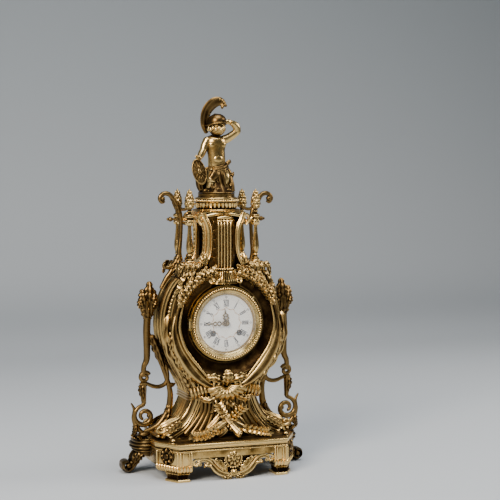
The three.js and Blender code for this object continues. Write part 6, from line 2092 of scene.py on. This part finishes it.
class CLOCK_OT_bezel(bpy.types.Operator):
    """Hinged bezel with a bead row and a polished inner slope, and its glass"""

    bl_idname = "clock.bezel"
    bl_label = "Bezel and glass"

    def execute(self, context):
        glass = box_mm("bezel_glass")
        low, high = box_mm("bezel_ring")
        rear, front = high.y - MIDDLE_Y, low.y - MIDDLE_Y
        # the ring's own radius, without its hinge
        radius = high.z - DIAL_Z
        sight = (glass[1].x - glass[0].x) / 2 - 1.5
        depth = rear - front
        rim = dished("rim", [(radius - 3.6, rear), (radius, rear),
            (radius + 0.05, rear - depth * 0.35), (radius - 0.2, front + 1.8),
            (radius - 0.7, front + 1.7),
                             (radius - 1.0, front + 3.6), (radius - 3.6, front + 3.6),
                             (radius - 3.6, rear)], 128, count=3)
        ring = dished("bezel", [(sight, rear), (radius - 3.7, rear), (radius - 3.8, front + 0.1),
            (radius - 4.6, front - 0.2), (radius - 5.2, front + 0.8),
                                (radius - 7.6, front + 3.9), (sight + 0.7, front + 5.0),
                                (sight, front + 5.7), (sight, rear)], 128, count=3)
        pin = box_mm("bezel_hinge_pin")
        hinge = (pin[0].x + pin[1].x) / 2, (pin[0].y + pin[1].y) / 2 - MIDDLE_Y
        knuckle = turned("knuckle", [(0, -4.4), (1.75, -4.4), (1.75, 4.4), (0, 4.4)], hinge, 20,
            DIAL_Z, smooth=False)
        leaf = block("hinge leaf", (hinge[0], hinge[1] - 0.7, DIAL_Z - 4.2),
            (1 - radius, hinge[1] + 0.7, DIAL_Z + 4.2))
        angle = math.radians(48)
        tab = swept("catch", [((radius - 1) * math.sin(angle), front + 3,
            DIAL_Z + (radius - 1) * math.cos(angle)),
                              ((radius + 1.8) * math.sin(angle), front + 3,
                                  DIAL_Z + (radius + 1.8) * math.cos(angle))],
                    single([1.8, 1.3]), single([1.2, 0.9]), (0, -1, 0), 6, 10)
        finish(joined("polished_bezel", [ring, knuckle, leaf, tab]), MATERIALS["bezel"],
            "gilt_bronze", body="bezel_door", nodes=["bezel_ring"])
        count = 92
        beads = [bead_at("bead", ((radius - 2.3) * math.cos(a), front + 1.1,
            DIAL_Z + (radius - 2.3) * math.sin(a)), 1.42)
                 for a in [2 * math.pi * k / count for k in range(count)]]
        finish(joined("bezel_beads", beads + [rim]), MATERIALS["gilt"], "gilt_bronze",
            body="bezel_door")
        back, face = glass[1].y - MIDDLE_Y, glass[0].y - MIDDLE_Y
        edge = (glass[1].x - glass[0].x) / 2
        rise = back - face - 1.5
        steps = (1, 0.9, 0.75, 0.55, 0.3, 0)
        inner = [(edge * part, back - rise * (1 - part * part)) for part in steps]
        outer = [(edge * part, back - 1.5 - rise * (1 - part * part)) for part in reversed(steps)]
        pane = dished("domed_glass", outer + [(edge, back)] + inner, 64, count=1)
        finish(pane, MATERIALS["glass"], "bezel_glass", body="bezel_door", nodes=["bezel_glass"])
        return {"FINISHED"}


class CLOCK_OT_movement(bpy.types.Operator):
    """Movement, bell, pendulum and hinge pins: finishes for the parts kept from the frame"""

    bl_idname = "clock.movement"
    bl_label = "Movement and back"

    def execute(self, context):
        brass = ("movement_front_plate", "movement_back_plate", "going_barrel", "strike_barrel",
            "centre_wheel", "third_wheel",
                 "escape_wheel", "minute_wheel", "hour_wheel", "movement_ring", "suspension_cock",
                 "bell", "pendulum", "rear_ring")
        steel = ("pallet_anchor", "cannon_pinion", "bezel_hinge_pin",
                 "rear_hinge_pin", "bell_post", "hammer")
        for names, key in ((brass, "brass"), (steel, "steel"),
            (("going_winding_arbor", "strike_winding_arbor"), "black")):
            for name in names:
                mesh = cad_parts[name].data
                for place in range(len(mesh.materials)):
                    mesh.materials[place] = MATERIALS[key]
        self.door()
        return {"FINISHED"}

    def door(self):
        """Round door of the back, turned in steps, with its knob and hinge."""
        low, high = box_mm("rear_door")
        front = low.y - MIDDLE_Y
        radius = high.z - DIAL_Z
        disc = dished("door", [(0, front), (radius, front), (radius, front + 2),
            (radius - 0.8, front + 2.8), (radius - 2.6, front + 2.8), (radius - 3.4, front + 1.8),
                               (radius * 0.72, front + 1.6), (radius * 0.70, front + 2.2),
                               (radius * 0.66, front + 2.2), (radius * 0.64, front + 1.6),
                               (6, front + 1.6), (4, front + 2.4), (0, front + 2.6)], 96, count=2)
        pin = box_mm("rear_hinge_pin")
        hinge = (pin[0].x + pin[1].x) / 2, (pin[0].y + pin[1].y) / 2 - MIDDLE_Y
        knuckle = turned("knuckle", [(0, -4.4), (1.75, -4.4), (1.75, 4.4), (0, 4.4)], hinge, 20,
            DIAL_Z, smooth=False)
        leaf = block("hinge leaf", (radius - 1.5, front + 0.1, DIAL_Z - 4.2),
            (hinge[0], front + 1.5, DIAL_Z + 4.2))
        back = high.y - MIDDLE_Y
        knob = dished("knob", [(0, front + 1), (1.6, front + 1), (1.4, front + 2.4),
            (2.3, back - 1), (2.2, back - 0.3), (0, back)], 24, centre=(9 - radius, 0), smooth=True)
        finish(joined("round_door", [disc, knuckle, leaf, knob]), MATERIALS["brass"], "clock_brass",
            body="back_door", nodes=["rear_door"])


# ---- Stage ------------------------------------------------------------------------------------


class CLOCK_OT_stage(bpy.types.Operator):
    """Pale floor and backdrop, with painted shade that darkens the wall as it rises, soft light and the camera
    """

    bl_idname = "clock.stage"
    bl_label = "Stage"

    def execute(self, context):
        def backdrop(u, v):
            # a floor that sweeps up into the wall behind
            depth, height = along([(-4600, -0.2), (300, -0.2), (1500, -0.2), (2100, 150),
                (2300, 800), (2350, 2600)], v)
            return (u - 0.5) * 7000, depth, height

        floor = surface("backdrop", 8, 60, backdrop)
        material, tree, shader, place = new_material("backdrop with painted wall shade")
        # painted shade: the colour darkens with height, from the pale floor to a darker wall
        height = node(tree, "ShaderNodeSeparateXYZ", {0: place}).outputs[2]
        rise = node(tree, "ShaderNodeMapRange", {0: height}, in_1=0.0, in_2=1.4)
        tint = node(tree, "ShaderNodeMix", {0: rise.outputs[0]}, data_type="RGBA",
                    in_6=linear("#bfc4c8"), in_7=linear("#8d959a"))
        tree.links.new(tint.outputs[2], shader.inputs["Base Color"])
        shader.inputs["Roughness"].default_value = 0.85
        floor.data.materials.append(material)
        select_only(floor)
        bpy.ops.object.shade_smooth()
        world = bpy.data.worlds.new("studio")
        world.use_nodes = True
        world.node_tree.nodes["Background"].inputs[0].default_value = linear("#aab4ba")
        world.node_tree.nodes["Background"].inputs[1].default_value = 0.22
        bpy.context.scene.world = world
        lights = context.scene.clock_stage
        for name, place, size, power, colour in (
            ("key", (-1.5, -1.5, 1.5), 0.9, lights.key, "#fff4e6"),
            ("rim", (1.6, -0.3, 1.1), 0.7, lights.rim, "#fffaf2"),
            ("top", (0.1, -0.5, 2.2), 1.4, lights.top, "#f6f9ff"),
        ):
            bpy.ops.object.select_all(action="DESELECT")
            bpy.ops.object.light_add(type="AREA", location=place)
            light = bpy.context.active_object
            light.name = name
            light.data.size = size
            light.data.energy = power
            light.data.color = linear(colour)[:3]
            light.rotation_euler = (Vector((0, 0, 0.25)) - Vector(place)).to_track_quat("-Z",
                "Y").to_euler()
        bpy.ops.object.camera_add(location=(-0.5664, -1.6730, 0.388))
        camera = bpy.context.active_object
        tilt, turn = math.radians(3.0), math.radians(20)
        ahead = Vector((math.sin(turn) * math.cos(tilt), math.cos(turn) * math.cos(tilt),
            -math.sin(tilt)))
        camera.rotation_euler = ahead.to_track_quat("-Z", "Y").to_euler()
        camera.data.lens = lights.lens
        camera.data.sensor_width = 36
        bpy.context.scene.camera = camera
        return {"FINISHED"}


# ---- Settings, panel and registration -----------------------------------------------------------


class ClockFinish(bpy.types.PropertyGroup):
    """Colours of the bronze"""

    # edge gold: partly rubbed gilding and partly painted highlight
    bright: bpy.props.FloatVectorProperty(
        name="Worn gilding", description="Gold that shows on rubbed edges",
        subtype="COLOR_GAMMA", size=3, min=0, max=1, default=(0.93, 0.79, 0.51),
    )
    middle: bpy.props.FloatVectorProperty(
        name="Toned gilding", description="Colour of the flat gilt surfaces",
        subtype="COLOR_GAMMA", size=3, min=0, max=1, default=(0.59, 0.45, 0.22),
    )
    # dark colour of the hollows: partly brown patination and partly painted shade
    patina_and_painted_shade: bpy.props.FloatVectorProperty(
        name="Patina", description="Brown left in the hollows",
        subtype="COLOR_GAMMA", size=3, min=0, max=1, default=(0.12, 0.075, 0.03),
    )


class ClockDial(bpy.types.PropertyGroup):
    """Sizes on the dial"""

    numeral_ring: bpy.props.FloatProperty(
        name="Hour ring radius", description="Distance of the hour numerals from the centre",
        subtype="DISTANCE", unit="LENGTH", min=0.02, max=0.034, default=0.0265,
    )
    numeral_height: bpy.props.FloatProperty(
        name="Hour numeral height", description="Height of the Roman numerals",
        subtype="DISTANCE", unit="LENGTH", min=0.003, max=0.01, default=0.0082,
    )
    minute_ring: bpy.props.FloatProperty(
        name="Minute ring radius", description="Distance of the minute figures from the centre",
        subtype="DISTANCE", unit="LENGTH", min=0.03, max=0.037, default=0.0345,
    )


class ClockStage(bpy.types.PropertyGroup):
    """Light and camera"""

    key: bpy.props.FloatProperty(name="Key light", description="Strength of the light at the left",
        min=0, default=74, unit="POWER")
    rim: bpy.props.FloatProperty(name="Side light",
        description="Strength of the light at the right", min=0, default=16, unit="POWER")
    top: bpy.props.FloatProperty(name="Top light", description="Strength of the light above", min=0,
        default=44, unit="POWER")
    lens: bpy.props.FloatProperty(name="Lens", description="Focal length of the camera", min=20,
        default=95.8, unit="CAMERA")


STEPS = (
    CLOCK_OT_base,
    CLOCK_OT_rosettes,
    CLOCK_OT_apron,
    CLOCK_OT_front_feet,
    CLOCK_OT_scroll_feet,
    CLOCK_OT_case,
    CLOCK_OT_surround,
    CLOCK_OT_waist_mask,
    CLOCK_OT_trophy,
    CLOCK_OT_brackets,
    CLOCK_OT_handles,
    CLOCK_OT_tower,
    CLOCK_OT_lyre,
    CLOCK_OT_balusters,
    CLOCK_OT_pedestal,
    CLOCK_OT_figure,
    CLOCK_OT_dial,
    CLOCK_OT_hands,
    CLOCK_OT_bezel,
    CLOCK_OT_movement,
    CLOCK_OT_stage,
)


class CLOCK_PT_panel(bpy.types.Panel):
    """Lists the steps that make the clock"""

    bl_idname = "CLOCK_PT_panel"
    bl_label = "Mantel clock"
    bl_space_type = "VIEW_3D"
    bl_region_type = "UI"
    bl_category = "Clock"

    def draw(self, context):
        layout = self.layout
        for settings in (context.scene.clock_finish, context.scene.clock_dial,
            context.scene.clock_stage):
            for name in settings.bl_rna.properties.keys():
                if name not in ("rna_type", "name"):
                    layout.prop(settings, name)
        for step in STEPS:
            layout.operator(step.bl_idname)


CLASSES = (ClockFinish, ClockDial, ClockStage) + STEPS + (CLOCK_PT_panel,)


def register():
    for item in CLASSES:
        bpy.utils.register_class(item)
    bpy.types.Scene.clock_finish = bpy.props.PointerProperty(type=ClockFinish)
    bpy.types.Scene.clock_dial = bpy.props.PointerProperty(type=ClockDial)
    bpy.types.Scene.clock_stage = bpy.props.PointerProperty(type=ClockStage)


def unregister():
    del bpy.types.Scene.clock_stage
    del bpy.types.Scene.clock_dial
    del bpy.types.Scene.clock_finish
    for item in reversed(CLASSES):
        bpy.utils.unregister_class(item)


def main():
    register()
    make_masters()
    make_materials()
    for step in STEPS:
        group, name = step.bl_idname.split(".")
        getattr(getattr(bpy.ops, group), name)()
    drop_masters()


if __name__ == "__main__":
    main()
